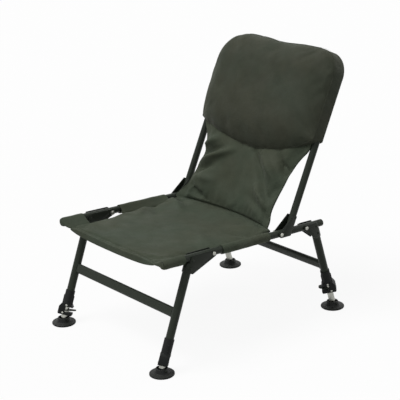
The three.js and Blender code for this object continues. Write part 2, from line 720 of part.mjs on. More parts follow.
for (const frame of LEG_FRAMES) {
  const { place, group, facing, splay, offset, angle, reach, lockRise, crossbarLevel } = frame;
  const axisY = facing * offset;
  const pivotHeight = group.position.z + offset * Math.sin(splay); // leg axis at the level of the pivot
  const downTo = (height) => (pivotHeight - height) / Math.cos(splay);
  const legStart = tubeStart(offset, LEG_RADIUS, angle);
  const lockBottom = downTo(0) - lockRise;
  const legEnd = lockBottom - LEG_SEAT - FIT;
  const pinDown = downTo(FOOT_PIN_HEIGHT);
  const bar = meshOf(`${place}_crossbar`, crossbar(), frameSteel);
  bar.position.set(0, axisY, -downTo(crossbarLevel));
  group.add(bar);
  for (const { side, sign } of SIDES) {
    const x = sign * HALF_SPACING;
    const plates = meshOf(`${place}_leg_bracket_${side}`, bracket(offset, LEG_RADIUS, angle, reach), frameSteel);
    plates.position.x = x;
    plates.rotation.x = Math.PI; // W runs down the leg, and U ahead
    if (facing > 0) plates.rotation.z = Math.PI; // U behind
    group.add(plates);

    const leg = meshOf(`${place}_leg_${side}`, pipe(LEG_RADIUS, LEG_RADIUS - TUBE_WALL, -legEnd, -legStart), frameSteel);
    leg.position.set(x, axisY, 0);
    group.add(leg);

    const lock = new THREE.Group();
    lock.position.set(x, axisY, -lockBottom);
    lock.rotation.z = Math.atan2(-facing, -sign); // the lever points to the middle of the chair
    lock.add(meshOf(`leg_lock_${place}_${side}`, lockHousing(), blackPlastic));
    const plate = meshOf(`jam_plate_${place}_${side}`, jamPlate(), brightSteel);
    plate.position.set(-PLATE_BACK, 0, FULCRUM_HEIGHT);
    plate.rotation.y = -PLATE_TILT;
    lock.add(plate);
    group.add(lock);

    const stem = meshOf(`inner_leg_${place}_${side}`, innerLeg(), brightSteel);
    stem.position.set(x, axisY, -pinDown + TIP_SHOULDER + FIT);
    const tip = meshOf(`leg_tip_${place}_${side}`, legTip(), blackPlastic);
    tip.position.set(x, axisY, -pinDown);
    group.add(stem, tip);

    const footY = group.position.y + axisY * Math.cos(splay) + facing * pinDown * Math.sin(splay);
    const foot = meshOf(`foot_${place}_${side}`, mudFoot(), blackPlastic);
    foot.position.set(x, footY, 0);
    const pin = meshOf(`foot_pin_${place}_${side}`, footPin(), brightSteel);
    pin.position.set(x, footY, FOOT_PIN_HEIGHT);
    pin.rotation.y = Math.PI / 2;
    chair.add(foot, pin);
  }
}

// Backrest frame: one tube bent to an upside-down U, with a bracket at each end

const BACK_ANGLE = BACK_RECLINE - RAIL_PITCH;

// Stations of the U from the left end to the right end.
function backPath(startZ) {
  const stations = [];
  const bendX = HALF_SPACING - BACK_BEND_RADIUS;
  const bendZ = BACK_HEIGHT - BACK_BEND_RADIUS;
  const add = (x, z, tangentX, tangentZ) =>
    stations.push({
      point: new THREE.Vector3(x, BACK_TUBE_OFFSET, z),
      tangent: new THREE.Vector3(tangentX, 0, tangentZ),
    });
  add(-HALF_SPACING, startZ, 0, 1);
  for (let k = 0; k <= BEND_STEPS; k += 1) {
    const turn = (k / BEND_STEPS) * (Math.PI / 2);
    const [c, s] = [Math.cos(turn), Math.sin(turn)];
    add(-bendX - BACK_BEND_RADIUS * c, bendZ + BACK_BEND_RADIUS * s, s, c);
  }
  for (let k = 0; k <= BEND_STEPS; k += 1) {
    const turn = (k / BEND_STEPS) * (Math.PI / 2);
    const [c, s] = [Math.cos(turn), Math.sin(turn)];
    add(bendX + BACK_BEND_RADIUS * s, bendZ + BACK_BEND_RADIUS * c, c, -s);
  }
  add(HALF_SPACING, startZ, 0, -1);
  return stations;
}

function bentTube(startZ, radius, bore, sides) {
  const stations = backPath(startZ);
  const circle = new THREE.Shape();
  circle.absarc(0, 0, radius, 0, 2 * Math.PI, false);
  if (bore > 0) {
    const hole = new THREE.Path();
    hole.absarc(0, 0, bore, 0, 2 * Math.PI, true);
    circle.holes.push(hole);
  }
  const geometry = new THREE.ExtrudeGeometry(circle, {
    steps: stations.length - 1,
    curveSegments: sides / 2,
    bevelEnabled: false,
    extrudePath: new SteppedPath(stations),
  });
  return solidOf(geometry);
}

const backTubeStart = tubeStart(BACK_TUBE_OFFSET, BACK_TUBE_RADIUS, BACK_ANGLE);
backrest.add(
  meshOf(
    "back_frame",
    bentTube(backTubeStart, BACK_TUBE_RADIUS, BACK_TUBE_RADIUS - TUBE_WALL, TUBE_SIDES),
    frameSteel,
  ),
);
for (const { side, sign } of SIDES) {
  const solid = bracket(BACK_TUBE_OFFSET, BACK_TUBE_RADIUS, BACK_ANGLE, BACK_BRACKET_REACH);
  const plates = meshOf(`back_bracket_${side}`, solid, frameSteel);
  plates.position.x = sign * HALF_SPACING;
  backrest.add(plates);
}

// Pillow: a crowned cushion with drawn-in edges, pulled over the top of the frame

const PILLOW_HALF = HALF_SPACING + BACK_TUBE_RADIUS + PILLOW_WRAP;
const PILLOW_TOP = BACK_HEIGHT + BACK_TUBE_RADIUS + PILLOW_OVER;
const PILLOW_BOTTOM = PILLOW_TOP - PILLOW_FALL;
const lowerEdge = (x) => PILLOW_BOTTOM + PILLOW_CORNER_LIFT * Math.abs(x / PILLOW_HALF) ** LOWER_EDGE_POWER;

function upperEdge(x) {
  const into = Math.abs(x) - (PILLOW_HALF - PILLOW_CORNER_RADIUS);
  if (into <= 0) return PILLOW_TOP;
  const rest = Math.max(PILLOW_CORNER_RADIUS ** 2 - into ** 2, 0);
  return PILLOW_TOP - PILLOW_CORNER_RADIUS + Math.sqrt(rest);
}

// Columns crowd towards the sides, where the corners are round.
const pillowX = (u) => PILLOW_HALF * Math.sin((u - 0.5) * Math.PI);

function pillow() {
  const face = (u, v, depth) => {
    const x = pillowX(u);
    const z = THREE.MathUtils.lerp(lowerEdge(x), upperEdge(x), v);
    const sideShare = 1 - Math.abs(x / PILLOW_HALF) ** CROWN_POWER;
    const heightShare = 1 - Math.abs(2 * v - 1) ** CROWN_POWER;
    return [x, BACK_TUBE_OFFSET + depth((sideShare * heightShare) ** CROWN_ROUNDING), z];
  };
  const front = (u, v) => face(u, v, (share) => -PILLOW_EDGE - (PILLOW_CROWN - PILLOW_EDGE) * share);
  const back = (u, v) => face(u, v, (share) => PILLOW_BACK + PILLOW_BACK_CROWN * share);
  const tunnel = bentTube(PILLOW_BOTTOM - OVERRUN, BACK_TUBE_RADIUS + TUNNEL_PLAY, 0, SMALL_SIDES);
  return sheet(PILLOW_COLUMNS, PILLOW_ROWS, front, back).subtract(tunnel);
}

backrest.add(meshOf("pillow", pillow(), pillowFabric));

// Back panel: its upper edge follows the pillow's lower edge, its lower sides are
// drawn forward to the seat

function backPanel() {
  const flareFrom = PILLOW_BOTTOM + PILLOW_CORNER_LIFT / 2 - PANEL_FLARE;
  const waist = HALF_SPACING - PANEL_WAIST_INSET;
  const top = HALF_SPACING - PANEL_TOP_INSET;
  const flare = (z) => THREE.MathUtils.clamp((z - flareFrom) / PANEL_FLARE, 0, 1) ** PANEL_FLARE_POWER;
  const halfWidth = (z) => THREE.MathUtils.lerp(waist, top, flare(z));
  const upperEdgeAt = (c) => {
    let z = PILLOW_BOTTOM;
    for (let k = 0; k < EDGE_STEPS; k += 1) z = lowerEdge(c * halfWidth(z)) - SEAM_GAP;
    return z;
  };
  const face = (u, v, thickness) => {
    const c = 2 * u - 1;
    const z = THREE.MathUtils.lerp(PANEL_FOOT, upperEdgeAt(c), v);
    const x = c * halfWidth(z);
    const back = smooth((z - PANEL_DRAW_FROM) / PANEL_DRAW_RUN);
    const drawn = PANEL_SIDE_REACH * (1 - back) * c ** 2;
    return [x, BACK_TUBE_OFFSET - PANEL_AHEAD - drawn + thickness(1 - c ** CROWN_POWER), z];
  };
  const front = (u, v) => face(u, v, () => 0);
  const back = (u, v) => face(u, v, (share) => PANEL_EDGE + (PANEL_THICKNESS - PANEL_EDGE) * share);
  return sheet(PANEL_COLUMNS, PANEL_ROWS, front, back);
}

backrest.add(meshOf("back_panel", backPanel(), seatFabric));

// Seat: a padded sheet that sags between the rails, cut out round the front
// brackets, with a fabric sleeve round each rail before and behind the cut-out. The
// front sleeves are closed over the ends of the rails.

const PAD_HALF = HALF_SPACING - PAD_INSET;
const CUTOUT_FROM = FRONT_PIVOT_AT - CUTOUT_AHEAD;
const CUTOUT_TO = FRONT_PIVOT_AT + CUTOUT_BEHIND;
const SLEEVE_RADIUS = RAIL_RADIUS + SLEEVE_PLAY + SLEEVE_FABRIC;

function seatPad() {
  const halfWidth = (s) => {
    const inward = smooth((s - CUTOUT_FROM) / CUTOUT_EDGE) * smooth((CUTOUT_TO - s) / CUTOUT_EDGE);
    return PAD_HALF - CUTOUT_DEPTH * inward;
  };
  const face = (u, v, direction) => {
    const c = 2 * u - 1;
    const s = v * (PAD_LENGTH - PAD_CORNER_CUT * Math.abs(c) ** PAD_CORNER_POWER);
    const lift = PAD_REAR_LIFT * smooth((s - PAD_LENGTH + PAD_REAR_RUN) / PAD_REAR_RUN) * (1 - c ** 2);
    const endRows = PAD_ROWS / PAD_END_ROWS;
    const endShare = smooth(v * endRows) * smooth((1 - v) * endRows);
    const thickness = PAD_EDGE + (PAD_THICKNESS - PAD_EDGE) * (1 - c ** CROWN_POWER) * endShare;
    const middle = -PAD_LEVEL - PAD_EDGE / 2 - PAD_SAG * (1 - c ** 2) + lift;
    return [c * halfWidth(s), s, middle + (direction * thickness) / 2];
  };
  return sheet(PAD_COLUMNS, PAD_ROWS, (u, v) => face(u, v, 1), (u, v) => face(u, v, -1));
}

// A sleeve round a rail with the tab that carries the pad from it.
function sleeve(sign, from, to) {
  const railX = HALF_SPACING;
  const tab = outline(
    [
      [railX - TAB_ROOT, SLEEVE_RADIUS - TAB_THICKNESS / 2],
      [railX - SLEEVE_RADIUS, TAB_THICKNESS],
      [PAD_HALF - TAB_LAP, -PAD_LEVEL],
      [PAD_HALF - TAB_LAP, -PAD_LEVEL - TAB_THICKNESS],
      [railX - RAIL_RADIUS, -TAB_THICKNESS],
    ].map(([x, z]) => [sign * x, z]),
  );
  const centre = new THREE.Vector3(sign * railX, 0, 0);
  return rod(SLEEVE_RADIUS, "y", from, to, centre).add(lengthwise(tab, from, to));
}

function seat() {
  const rearEnd = BACK_PIVOT_AT - REAR_SLEEVE_SHORT;
  const wayFrom = -CAP_HEAD - SLEEVE_PLAY;
  let cover = seatPad();
  for (const { sign } of SIDES) {
    const centre = new THREE.Vector3(sign * HALF_SPACING, 0, 0);
    const way = rod(RAIL_RADIUS + SLEEVE_PLAY, "y", wayFrom, RAIL_LENGTH, centre);
    const frontSleeve = sleeve(sign, wayFrom - SLEEVE_FABRIC, CUTOUT_FROM);
    cover = cover.add(frontSleeve).add(sleeve(sign, CUTOUT_TO, rearEnd)).subtract(way);
  }
  return cover;
}

rails.add(meshOf("seat_pad", seat(), seatFabric));

// The origin is on the floor under the middle of the chair
const bounds = new THREE.Box3().setFromObject(chair);
const middle = bounds.getCenter(new THREE.Vector3());
const part = new THREE.Group();
chair.position.set(0, -middle.y, 0);
part.add(chair);

export default part;
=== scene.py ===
"""Carp fishing chair: the finish of a low folding chair with a padded sling seat,
a head pillow, painted steel tubes, plastic leg locks and wide mud feet.

Metres, +Z up. The sitter faces -Y, and left is the sitter's left, +X.
"""

import json
import math

import bmesh
import bpy
import numpy as np
from bpy.props import FloatProperty, FloatVectorProperty, PointerProperty
from mathutils import Matrix, Vector, noise


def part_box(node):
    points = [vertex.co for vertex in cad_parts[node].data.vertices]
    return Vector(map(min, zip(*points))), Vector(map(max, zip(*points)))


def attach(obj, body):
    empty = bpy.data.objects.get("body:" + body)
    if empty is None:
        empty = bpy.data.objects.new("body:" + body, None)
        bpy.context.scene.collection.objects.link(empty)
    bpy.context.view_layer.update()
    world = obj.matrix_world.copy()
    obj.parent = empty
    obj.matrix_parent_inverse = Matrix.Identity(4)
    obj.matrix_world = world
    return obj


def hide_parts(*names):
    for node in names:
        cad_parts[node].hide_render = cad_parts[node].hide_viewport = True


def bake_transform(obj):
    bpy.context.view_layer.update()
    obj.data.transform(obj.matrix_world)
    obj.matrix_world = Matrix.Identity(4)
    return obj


bl_info = {
    "name": "Fishing chair",
    "version": (1, 0, 0),
    "blender": (4, 5, 0),
    "location": "View3D > Sidebar > Chair",
    "description": "Dresses the frame of a folding fishing chair in fabric, paint and plastic",
    "category": "Object",
}

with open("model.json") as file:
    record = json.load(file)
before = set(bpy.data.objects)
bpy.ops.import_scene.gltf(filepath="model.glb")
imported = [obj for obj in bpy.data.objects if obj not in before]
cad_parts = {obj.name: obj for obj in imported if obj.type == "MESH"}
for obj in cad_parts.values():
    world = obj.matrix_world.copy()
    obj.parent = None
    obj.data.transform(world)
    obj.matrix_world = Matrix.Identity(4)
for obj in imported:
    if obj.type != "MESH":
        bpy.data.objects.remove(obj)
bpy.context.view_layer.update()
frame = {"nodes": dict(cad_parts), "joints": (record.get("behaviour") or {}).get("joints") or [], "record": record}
JOINTS = {joint["name"]: joint for joint in frame["joints"]}
BODY_OF = {
    node: body for body, nodes in frame["record"]["behaviour"]["bodies"].items() for node in nodes
}
SLOT_OF = {part["node"]: part["material_slot"] for part in frame["record"]["subparts"]}
SIDES = {"left": 1, "right": -1}


def linear(colour):
    """Scene-linear red, green and blue of a screen colour written as 0xRRGGBB."""
    channels = [(colour >> shift & 255) / 255 for shift in (16, 8, 0)]
    return tuple(c / 12.92 if c <= 0.04045 else ((c + 0.055) / 1.055) ** 2.4 for c in channels)


# The frames of the chair: along the rails, and up the backrest

FRONT_PIVOT = Vector(JOINTS["front_leg_fold"]["pos_m"])
REAR_PIVOT = Vector(JOINTS["rear_leg_fold"]["pos_m"])
BACK_PIVOT = Vector(JOINTS["backrest_fold"]["pos_m"])
FRONT_PIVOT_AT = 0.18  # from the rails' front ends
RAIL_WAY = (REAR_PIVOT - FRONT_PIVOT).normalized()
RAIL_UP = Vector((0, -RAIL_WAY.z, RAIL_WAY.y))
RAIL_X = sum(corner.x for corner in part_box("seat_rail_left")) / 2
RECLINE = math.radians(25.4)
BACK_UP = Vector((0, math.sin(RECLINE), math.cos(RECLINE)))
BACK_REAR = Vector((0, math.cos(RECLINE), -math.sin(RECLINE)))
TUBE_BEHIND = 0.034  # axis of the back tubes behind the pivot


def on_rails(x, along, rise):
    """A point at x, a distance from the rails' front ends and a rise above their axes."""
    return Vector((x, 0, 0)) + FRONT_PIVOT + RAIL_WAY * (along - FRONT_PIVOT_AT) + RAIL_UP * rise


def on_back(x, rear, up):
    """A point at x, a distance behind the backrest's pivot and a height up its tubes."""
    return Vector((x, 0, 0)) + BACK_PIVOT + BACK_REAR * rear + BACK_UP * up


def ease(share):
    share = np.clip(share, 0, 1)
    return share * share * (3 - 2 * share)


# Settings


class FabricSettings(bpy.types.PropertyGroup):
    seat_colour: FloatVectorProperty(
        name="Seat colour", description="Woven cover of the seat and back", subtype="COLOR",
        size=3, min=0, max=1, default=linear(0x42493B),
    )
    pillow_colour: FloatVectorProperty(
        name="Pillow colour", description="Woven cover of the head pillow", subtype="COLOR",
        size=3, min=0, max=1, default=linear(0x3C4034),
    )
    weave: FloatProperty(
        name="Weave", description="Distance between two threads of the weave",
        unit="LENGTH", min=0.0004, max=0.003, default=0.0011, precision=4,
    )
    fold_depth: FloatProperty(
        name="Fold depth", description="Height of the folds that run in from the sides",
        unit="LENGTH", min=0, max=0.02, default=0.0165, precision=4,
    )
    sling_loose: FloatProperty(
        name="Sling looseness", description="How much larger the sling's cover is cut",
        subtype="FACTOR", min=0, max=0.1, default=0.022,
    )
    pillow_loose: FloatProperty(
        name="Pillow looseness", description="How much larger the pillow's cover is cut",
        subtype="FACTOR", min=0, max=0.1, default=0.005,
    )
    stuffing: FloatProperty(
        name="Stuffing", description="Pressure with which the filling swells the cover",
        min=0, max=20, default=4,
    )


class SeatSettings(bpy.types.PropertyGroup):
    half_width: FloatProperty(
        name="Half width", description="Middle of the chair to the side of the pad",
        unit="LENGTH", min=0.1, max=0.23, default=0.222,
    )
    level: FloatProperty(
        name="Level", description="Middle of the pad's edge below the rails' axes",
        unit="LENGTH", min=0, max=0.05, default=0.011,
    )
    sag: FloatProperty(
        name="Sag", description="How far the middle hangs below the sides",
        unit="LENGTH", min=0, max=0.05, default=0.004,
    )
    thickness: FloatProperty(
        name="Seat padding", description="Thickness of the seat in the middle",
        unit="LENGTH", min=0.005, max=0.04, default=0.017,
    )
    edge: FloatProperty(
        name="Edge", description="Thickness of the cover at its sides",
        unit="LENGTH", min=0.002, max=0.015, default=0.006,
    )
    front_half: FloatProperty(
        name="Front half width", description="Half width at the front edge",
        unit="LENGTH", min=0.1, max=0.23, default=0.204,
    )
    bracket_half: FloatProperty(
        name="Half width at brackets", description="Half width beside the front brackets",
        unit="LENGTH", min=0.1, max=0.23, default=0.206,
    )
    waist: FloatProperty(
        name="Waist", description="Half width of the back panel where it is narrowest",
        unit="LENGTH", min=0.1, max=0.22, default=0.193,
    )
    near_corner: FloatProperty(
        name="Left corner", description="Half width of the crease on the sitter's left",
        unit="LENGTH", min=0.1, max=0.23, default=0.206,
    )
    far_corner: FloatProperty(
        name="Right corner", description="Half width of the crease on the sitter's right",
        unit="LENGTH", min=0.1, max=0.24, default=0.231,
    )
    crease: FloatProperty(
        name="Crease", description="Thickness where the seat turns up into the back",
        unit="LENGTH", min=0.001, max=0.02, default=0.0035, precision=4,
    )
    back_thickness: FloatProperty(
        name="Back padding", description="Thickness of the back panel in the middle",
        unit="LENGTH", min=0.005, max=0.04, default=0.015,
    )


class PillowSettings(bpy.types.PropertyGroup):
    crown: FloatProperty(
        name="Crown", description="Middle of the pillow ahead of the tubes' axis",
        unit="LENGTH", min=0.03, max=0.09, default=0.073,
    )
    left_rim: FloatProperty(
        name="Left rim", description="Front seam on the sitter's left, ahead of the tubes' axis",
        unit="LENGTH", min=0.005, max=0.05, default=0.031,
    )
    right_rim: FloatProperty(
        name="Right rim", description="Front seam on the right, ahead of the tubes' axis",
        unit="LENGTH", min=0.005, max=0.05, default=0.017,
    )
    lower_roll: FloatProperty(
        name="Lower roll", description="Height over which the lower edge rolls under",
        unit="LENGTH", min=0.01, max=0.15, default=0.110,
    )
    upper_roll: FloatProperty(
        name="Upper roll", description="Height over which the top rolls back",
        unit="LENGTH", min=0.01, max=0.15, default=0.070,
    )
    side_roll: FloatProperty(
        name="Side roll", description="Width over which the sides roll back",
        unit="LENGTH", min=0.01, max=0.15, default=0.065,
    )
    back: FloatProperty(
        name="Back", description="Back of the pillow behind the tubes' axis",
        unit="LENGTH", min=0.012, max=0.03, default=0.0145,
    )
    left_radius: FloatProperty(
        name="Left corner radius", description="Radius of the upper corner on the sitter's left",
        unit="LENGTH", min=0.02, max=0.15, default=0.075,
    )
    right_radius: FloatProperty(
        name="Right corner radius", description="Radius of the upper corner on the right",
        unit="LENGTH", min=0.02, max=0.15, default=0.125,
    )
    piping_radius: FloatProperty(
        name="Piping radius", description="Radius of the cord sewn into the front seam",
        unit="LENGTH", min=0.0005, max=0.006, default=0.0013, precision=4,
    )
    tuck_depth: FloatProperty(
        name="Tuck depth", description="How far the tucks pull the top seam in",
        unit="LENGTH", min=0, max=0.01, default=0.0028, precision=4,
    )


class MetalSettings(bpy.types.PropertyGroup):
    paint_colour: FloatVectorProperty(
        name="Paint colour", description="Powder coat on the tubes and brackets", subtype="COLOR",
        size=3, min=0, max=1, default=linear(0x21261F),
    )
    steel_colour: FloatVectorProperty(
        name="Steel colour", description="Bolts, pins, levers and inner legs", subtype="COLOR",
        size=3, min=0, max=1, default=linear(0xA9AAA2),
    )
    edge_round: FloatProperty(
        name="Edge round", description="Radius on the edges of pressed brackets",
        unit="LENGTH", min=0, max=0.002, default=0.0005, precision=4,
    )
    rivet_radius: FloatProperty(
        name="Rivet radius", description="Radius of a rivet's head",
        unit="LENGTH", min=0.001, max=0.01, default=0.0042, precision=4,
    )
    rivet_rise: FloatProperty(
        name="Rivet rise", description="Height of a rivet's head",
        unit="LENGTH", min=0.0005, max=0.005, default=0.0022, precision=4,
    )
    weld_radius: FloatProperty(
        name="Weld radius", description="Radius of the weld beads round the crossbars",
        unit="LENGTH", min=0.0005, max=0.005, default=0.0019, precision=4,
    )


class PlasticSettings(bpy.types.PropertyGroup):
    colour: FloatVectorProperty(
        name="Plastic colour", description="Locks, feet and caps", subtype="COLOR",
        size=3, min=0, max=1, default=linear(0x151716),
    )
    # Lighter colour painted on faces that look up: partly dry dust, partly a painted sheen of the light from above
    dust_and_sheen_colour: FloatVectorProperty(
        name="Dust colour", description="Dry dust on faces that look up", subtype="COLOR",
        size=3, min=0, max=1, default=linear(0x60625E),
    )
    edge_round: FloatProperty(
        name="Edge round", description="Radius on the edges of moulded pieces",
        unit="LENGTH", min=0, max=0.002, default=0.0009, precision=4,
    )


class StitchSettings(bpy.types.PropertyGroup):
    pitch: FloatProperty(
        name="Stitch pitch", description="Distance from one stitch to the next",
        unit="LENGTH", min=0.002, max=0.01, default=0.0045, precision=4,
    )
    length: FloatProperty(
        name="Stitch length", description="Length of a stitch",
        unit="LENGTH", min=0.001, max=0.01, default=0.0034, precision=4,
    )
    thread: FloatProperty(
        name="Thread radius", description="Radius of the sewing thread",
        unit="LENGTH", min=0.0002, max=0.001, default=0.00045, precision=4,
    )
    colour: FloatVectorProperty(
        name="Thread colour", description="Sewing thread", subtype="COLOR",
        size=3, min=0, max=1, default=linear(0x2E332A),
    )


class StageSettings(bpy.types.PropertyGroup):
    target: FloatVectorProperty(
        name="Target", description="Point that the camera looks at", subtype="TRANSLATION",
        unit="LENGTH", size=3, default=(0.0009, 0.0039, 0.3828),
    )
    distance: FloatProperty(
        name="Distance", description="Camera to target", unit="LENGTH", min=0.5, max=10,
        default=4.1414,
    )
    azimuth: FloatProperty(
        name="Azimuth", description="Camera's turn from the front", unit="ROTATION",
        default=math.radians(50.2),
    )
    elevation: FloatProperty(
        name="Elevation", description="Camera's height as an angle", unit="ROTATION",
        default=math.radians(19.2),
    )
    roll: FloatProperty(
        name="Roll", description="Turn of the picture", unit="ROTATION",
        default=math.radians(-1.6),
    )
    lens: FloatProperty(
        name="Lens", description="Focal length on a 36 mm sensor", subtype="DISTANCE_CAMERA",
        min=20, max=300, default=120.33,
    )
    floor_colour: FloatVectorProperty(
        name="Floor colour", description="Studio floor and backdrop", subtype="COLOR",
        size=3, min=0, max=1, default=(0.97, 0.97, 0.97),
    )
    bounce_colour: FloatVectorProperty(
        name="Bounce colour", description="Colour with which the floor lights the chair",
        subtype="COLOR", size=3, min=0, max=1, default=(0.35, 0.35, 0.35),
    )
    floor_glow: FloatProperty(
        name="Floor glow", description="How far the floor shows white whatever light it gets",
        subtype="FACTOR", min=0, max=1, default=0.92,
    )
    key: FloatProperty(
        name="Key light", description="Strength of the main soft light", min=0, default=1.95,
    )
    fill: FloatProperty(
        name="Fill light", description="Strength of the soft light opposite", min=0, default=0.2,
    )
    back: FloatProperty(
        name="Back light", description="Strength of the soft light from behind", min=0, default=0.5,
    )
    sky: FloatProperty(
        name="Room light", description="Strength of the light from all round", min=0, default=0.2,
    )


class ChairSettings(bpy.types.PropertyGroup):
    fabric: PointerProperty(type=FabricSettings)
    seat: PointerProperty(type=SeatSettings)
    pillow: PointerProperty(type=PillowSettings)
    metal: PointerProperty(type=MetalSettings)
    plastic: PointerProperty(type=PlasticSettings)
    stitch: PointerProperty(type=StitchSettings)
    stage: PointerProperty(type=StageSettings)


# Materials

# Places of a Mix node's share, two colours and result among its sockets
MIX_SHARE, MIX_FIRST, MIX_SECOND, MIX_RESULT = 0, 6, 7, 2
WAVE_RATE = 20  # radians that a wave texture of scale 1 turns in one unit


class Nodes:
    """A node tree under construction: short ways to add nodes and join them."""

    def __init__(self, tree):
        self.tree = tree

    def add(self, kind, **values):
        node = self.tree.nodes.new(kind)
        for name, value in values.items():
            setattr(node, name, value)
        return node

    def join(self, source, target):
        self.tree.links.new(source, target)

    def feed(self, socket, value):
        """Joins an output to a socket, or sets the socket to a plain value."""
        if hasattr(value, "is_output"):
            self.join(value, socket)
        else:
            socket.default_value = value

    def maths(self, operation, first, second):
        node = self.add("ShaderNodeMath", operation=operation)
        self.feed(node.inputs[0], first)
        self.feed(node.inputs[1], second)
        return node.outputs[0]

    def mix(self, share, first, second, blend="MIX"):
        """Two colours, each an output or a tuple of red, green and blue, mixed by a share."""
        node = self.add("ShaderNodeMix", data_type="RGBA", blend_type=blend)
        self.feed(node.inputs[MIX_SHARE], share)
        for socket, colour in ((MIX_FIRST, first), (MIX_SECOND, second)):
            plain = isinstance(colour, tuple)
            self.feed(node.inputs[socket], (*colour, 1) if plain else colour)
        return node.outputs[MIX_RESULT]


class Shader(Nodes):
    """A material under construction, with its surface and the place on the object."""

    def __init__(self, name, values):
        self.material = bpy.data.materials.new(name)
        self.material.use_nodes = True
        super().__init__(self.material.node_tree)
        self.surface = self.tree.nodes["Principled BSDF"]
        for socket, value in values.items():
            self.surface.inputs[socket].default_value = value
        self.place = self.add("ShaderNodeTexCoord").outputs["Object"]

    def noise(self, size, detail=3.0, stretch=(1, 1, 1)):
        """Noise whose blotches are about size across, from 0 to 1."""
        mapping = self.add("ShaderNodeMapping")
        mapping.inputs["Scale"].default_value = stretch
        self.join(self.place, mapping.inputs["Vector"])
        texture = self.add("ShaderNodeTexNoise")
        texture.inputs["Scale"].default_value = 1 / size
        texture.inputs["Detail"].default_value = detail
        self.join(mapping.outputs["Vector"], texture.inputs["Vector"])
        return texture.outputs["Fac"]

    def stripes(self, direction, pitch):
        """Slightly uneven stripes a pitch apart, from 0 to 1."""
        texture = self.add("ShaderNodeTexWave", bands_direction=direction)
        texture.inputs["Scale"].default_value = 2 * math.pi / (WAVE_RATE * pitch)
        texture.inputs["Distortion"].default_value = 0.6
        texture.inputs["Detail"].default_value = 1
        self.join(self.place, texture.inputs["Vector"])
        return texture.outputs["Fac"]

    def ramp(self, source, stops):
        """Maps source through stops of (position, value), where a value is a colour or a number."""
        node = self.add("ShaderNodeValToRGB")
        ramp = node.color_ramp
        while len(ramp.elements) < len(stops):
            ramp.elements.new(0.5)
        for element, (position, value) in zip(ramp.elements, stops):
            element.position = position
            colour = value if isinstance(value, tuple) else (value, value, value)
            element.color = (*colour, 1)
        self.join(source, node.inputs["Fac"])
        return node.outputs["Color"]

    def bump(self, height, depth, strength, after=None):
        """Relief of a depth, on top of other relief where after is given."""
        node = self.add("ShaderNodeBump")
        node.inputs["Strength"].default_value = strength
        node.inputs["Distance"].default_value = depth
        self.join(height, node.inputs["Height"])
        if after is not None:
            self.join(after, node.inputs["Normal"])
        return node.outputs["Normal"]

    def finish(self, colour, roughness, normal):
        """The finished material. Without roughness, the surface keeps its own."""
        for socket, value in (("Base Color", colour), ("Roughness", roughness), ("Normal", normal)):
            if value is not None:
                self.join(value, self.surface.inputs[socket])
        return self.material


def shade(colour, share):
    return tuple(min(c * share, 1) for c in colour)


def woven_cover(name, colour):
    """Polyester canvas: a fine plain weave, soft blotches of green and brown, and sheen."""
    pitch = bpy.context.scene.chair.fabric.weave
    values = {
        "Roughness": 0.78,
        "Specular IOR Level": 0.25,
        "Sheen Weight": 0.06,
        "Sheen Roughness": 0.45,
        "Sheen Tint": (0.75, 0.8, 0.7, 1),
    }
    shader = Shader(name, values)
    red, green, blue = colour
    brownish = (red * 1.05, green * 0.99, blue * 0.97)
    greenish = (red * 0.95, green * 1.01, blue * 1.01)
    blotches = shader.ramp(
        shader.noise(size=0.13, detail=2), [(0.35, greenish), (0.65, brownish)]
    )
    wear = shader.ramp(shader.noise(size=0.035, detail=4), [(0.3, 0.9), (0.72, 1.08)])
    toned = shader.mix(1, blotches, wear, "MULTIPLY")
    threads = shader.maths("MAXIMUM", shader.stripes("X", pitch), shader.stripes("Z", pitch))
    crossed = shader.maths("MULTIPLY", threads, shader.stripes("Y", pitch))
    gaps = shader.ramp(crossed, [(0, 0.16), (1, 0)])
    cloth = shader.mix(gaps, toned, shade(colour, 0.6))
    rumple = shader.bump(shader.noise(size=0.018), depth=0.0016, strength=0.55)
    grain = shader.bump(crossed, depth=0.00025, strength=0.5, after=rumple)
    rough = shader.ramp(shader.noise(size=0.05, detail=2), [(0.3, 0.7), (0.7, 0.86)])
    return shader.finish(cloth, rough, grain)


def powder_coat():
    """Satin paint baked on steel: orange-peel surface, faint mottling, a few scuffs, and sharp edges painted
    lighter, partly as rubbed paint and partly as a painted highlight.
    """
    colour = bpy.context.scene.chair.metal.paint_colour
    shader = Shader("powder_coat", {"Roughness": 0.42, "Specular IOR Level": 0.16})
    mottled = shader.ramp(
        shader.noise(size=0.03), [(0.3, shade(colour, 0.85)), (0.7, shade(colour, 1.15))]
    )
    scratches = shader.noise(size=0.006, detail=5, stretch=(1, 0.5, 0.3))
    scuffs = shader.ramp(scratches, [(0.7, 0), (0.76, 0.35)])
    # Sharp edges are painted lighter: partly rubbed paint, partly a painted highlight where the edges catch the
    # light
    edges = shader.add("ShaderNodeNewGeometry").outputs["Pointiness"]
    edge_wear_and_highlight = shader.maths("MAXIMUM", scuffs, shader.ramp(edges, [(0.53, 0), (0.62, 0.5)]))
    coat = shader.mix(edge_wear_and_highlight, mottled, shade(colour, 2.6))
    rough = shader.ramp(shader.noise(size=0.012), [(0.3, 0.36), (0.7, 0.5)])
    peel = shader.bump(shader.noise(size=0.0012, detail=2), depth=0.00012, strength=0.4)
    return shader.finish(coat, rough, peel)


def bright_steel():
    """Zinc-plated steel: drawn along its length, with dull patches."""
    colour = bpy.context.scene.chair.metal.steel_colour
    shader = Shader("bright_steel", {"Roughness": 0.3, "Metallic": 0.9})
    drawn = shader.noise(size=0.0008, detail=2, stretch=(1, 1, 0.04))
    dull = shader.ramp(
        shader.noise(size=0.01), [(0.3, shade(colour, 0.8)), (0.65, shade(colour, 1.05))]
    )
    rough = shader.ramp(drawn, [(0.3, 0.24), (0.7, 0.4)])
    return shader.finish(dull, rough, shader.bump(drawn, depth=0.00005, strength=0.3))


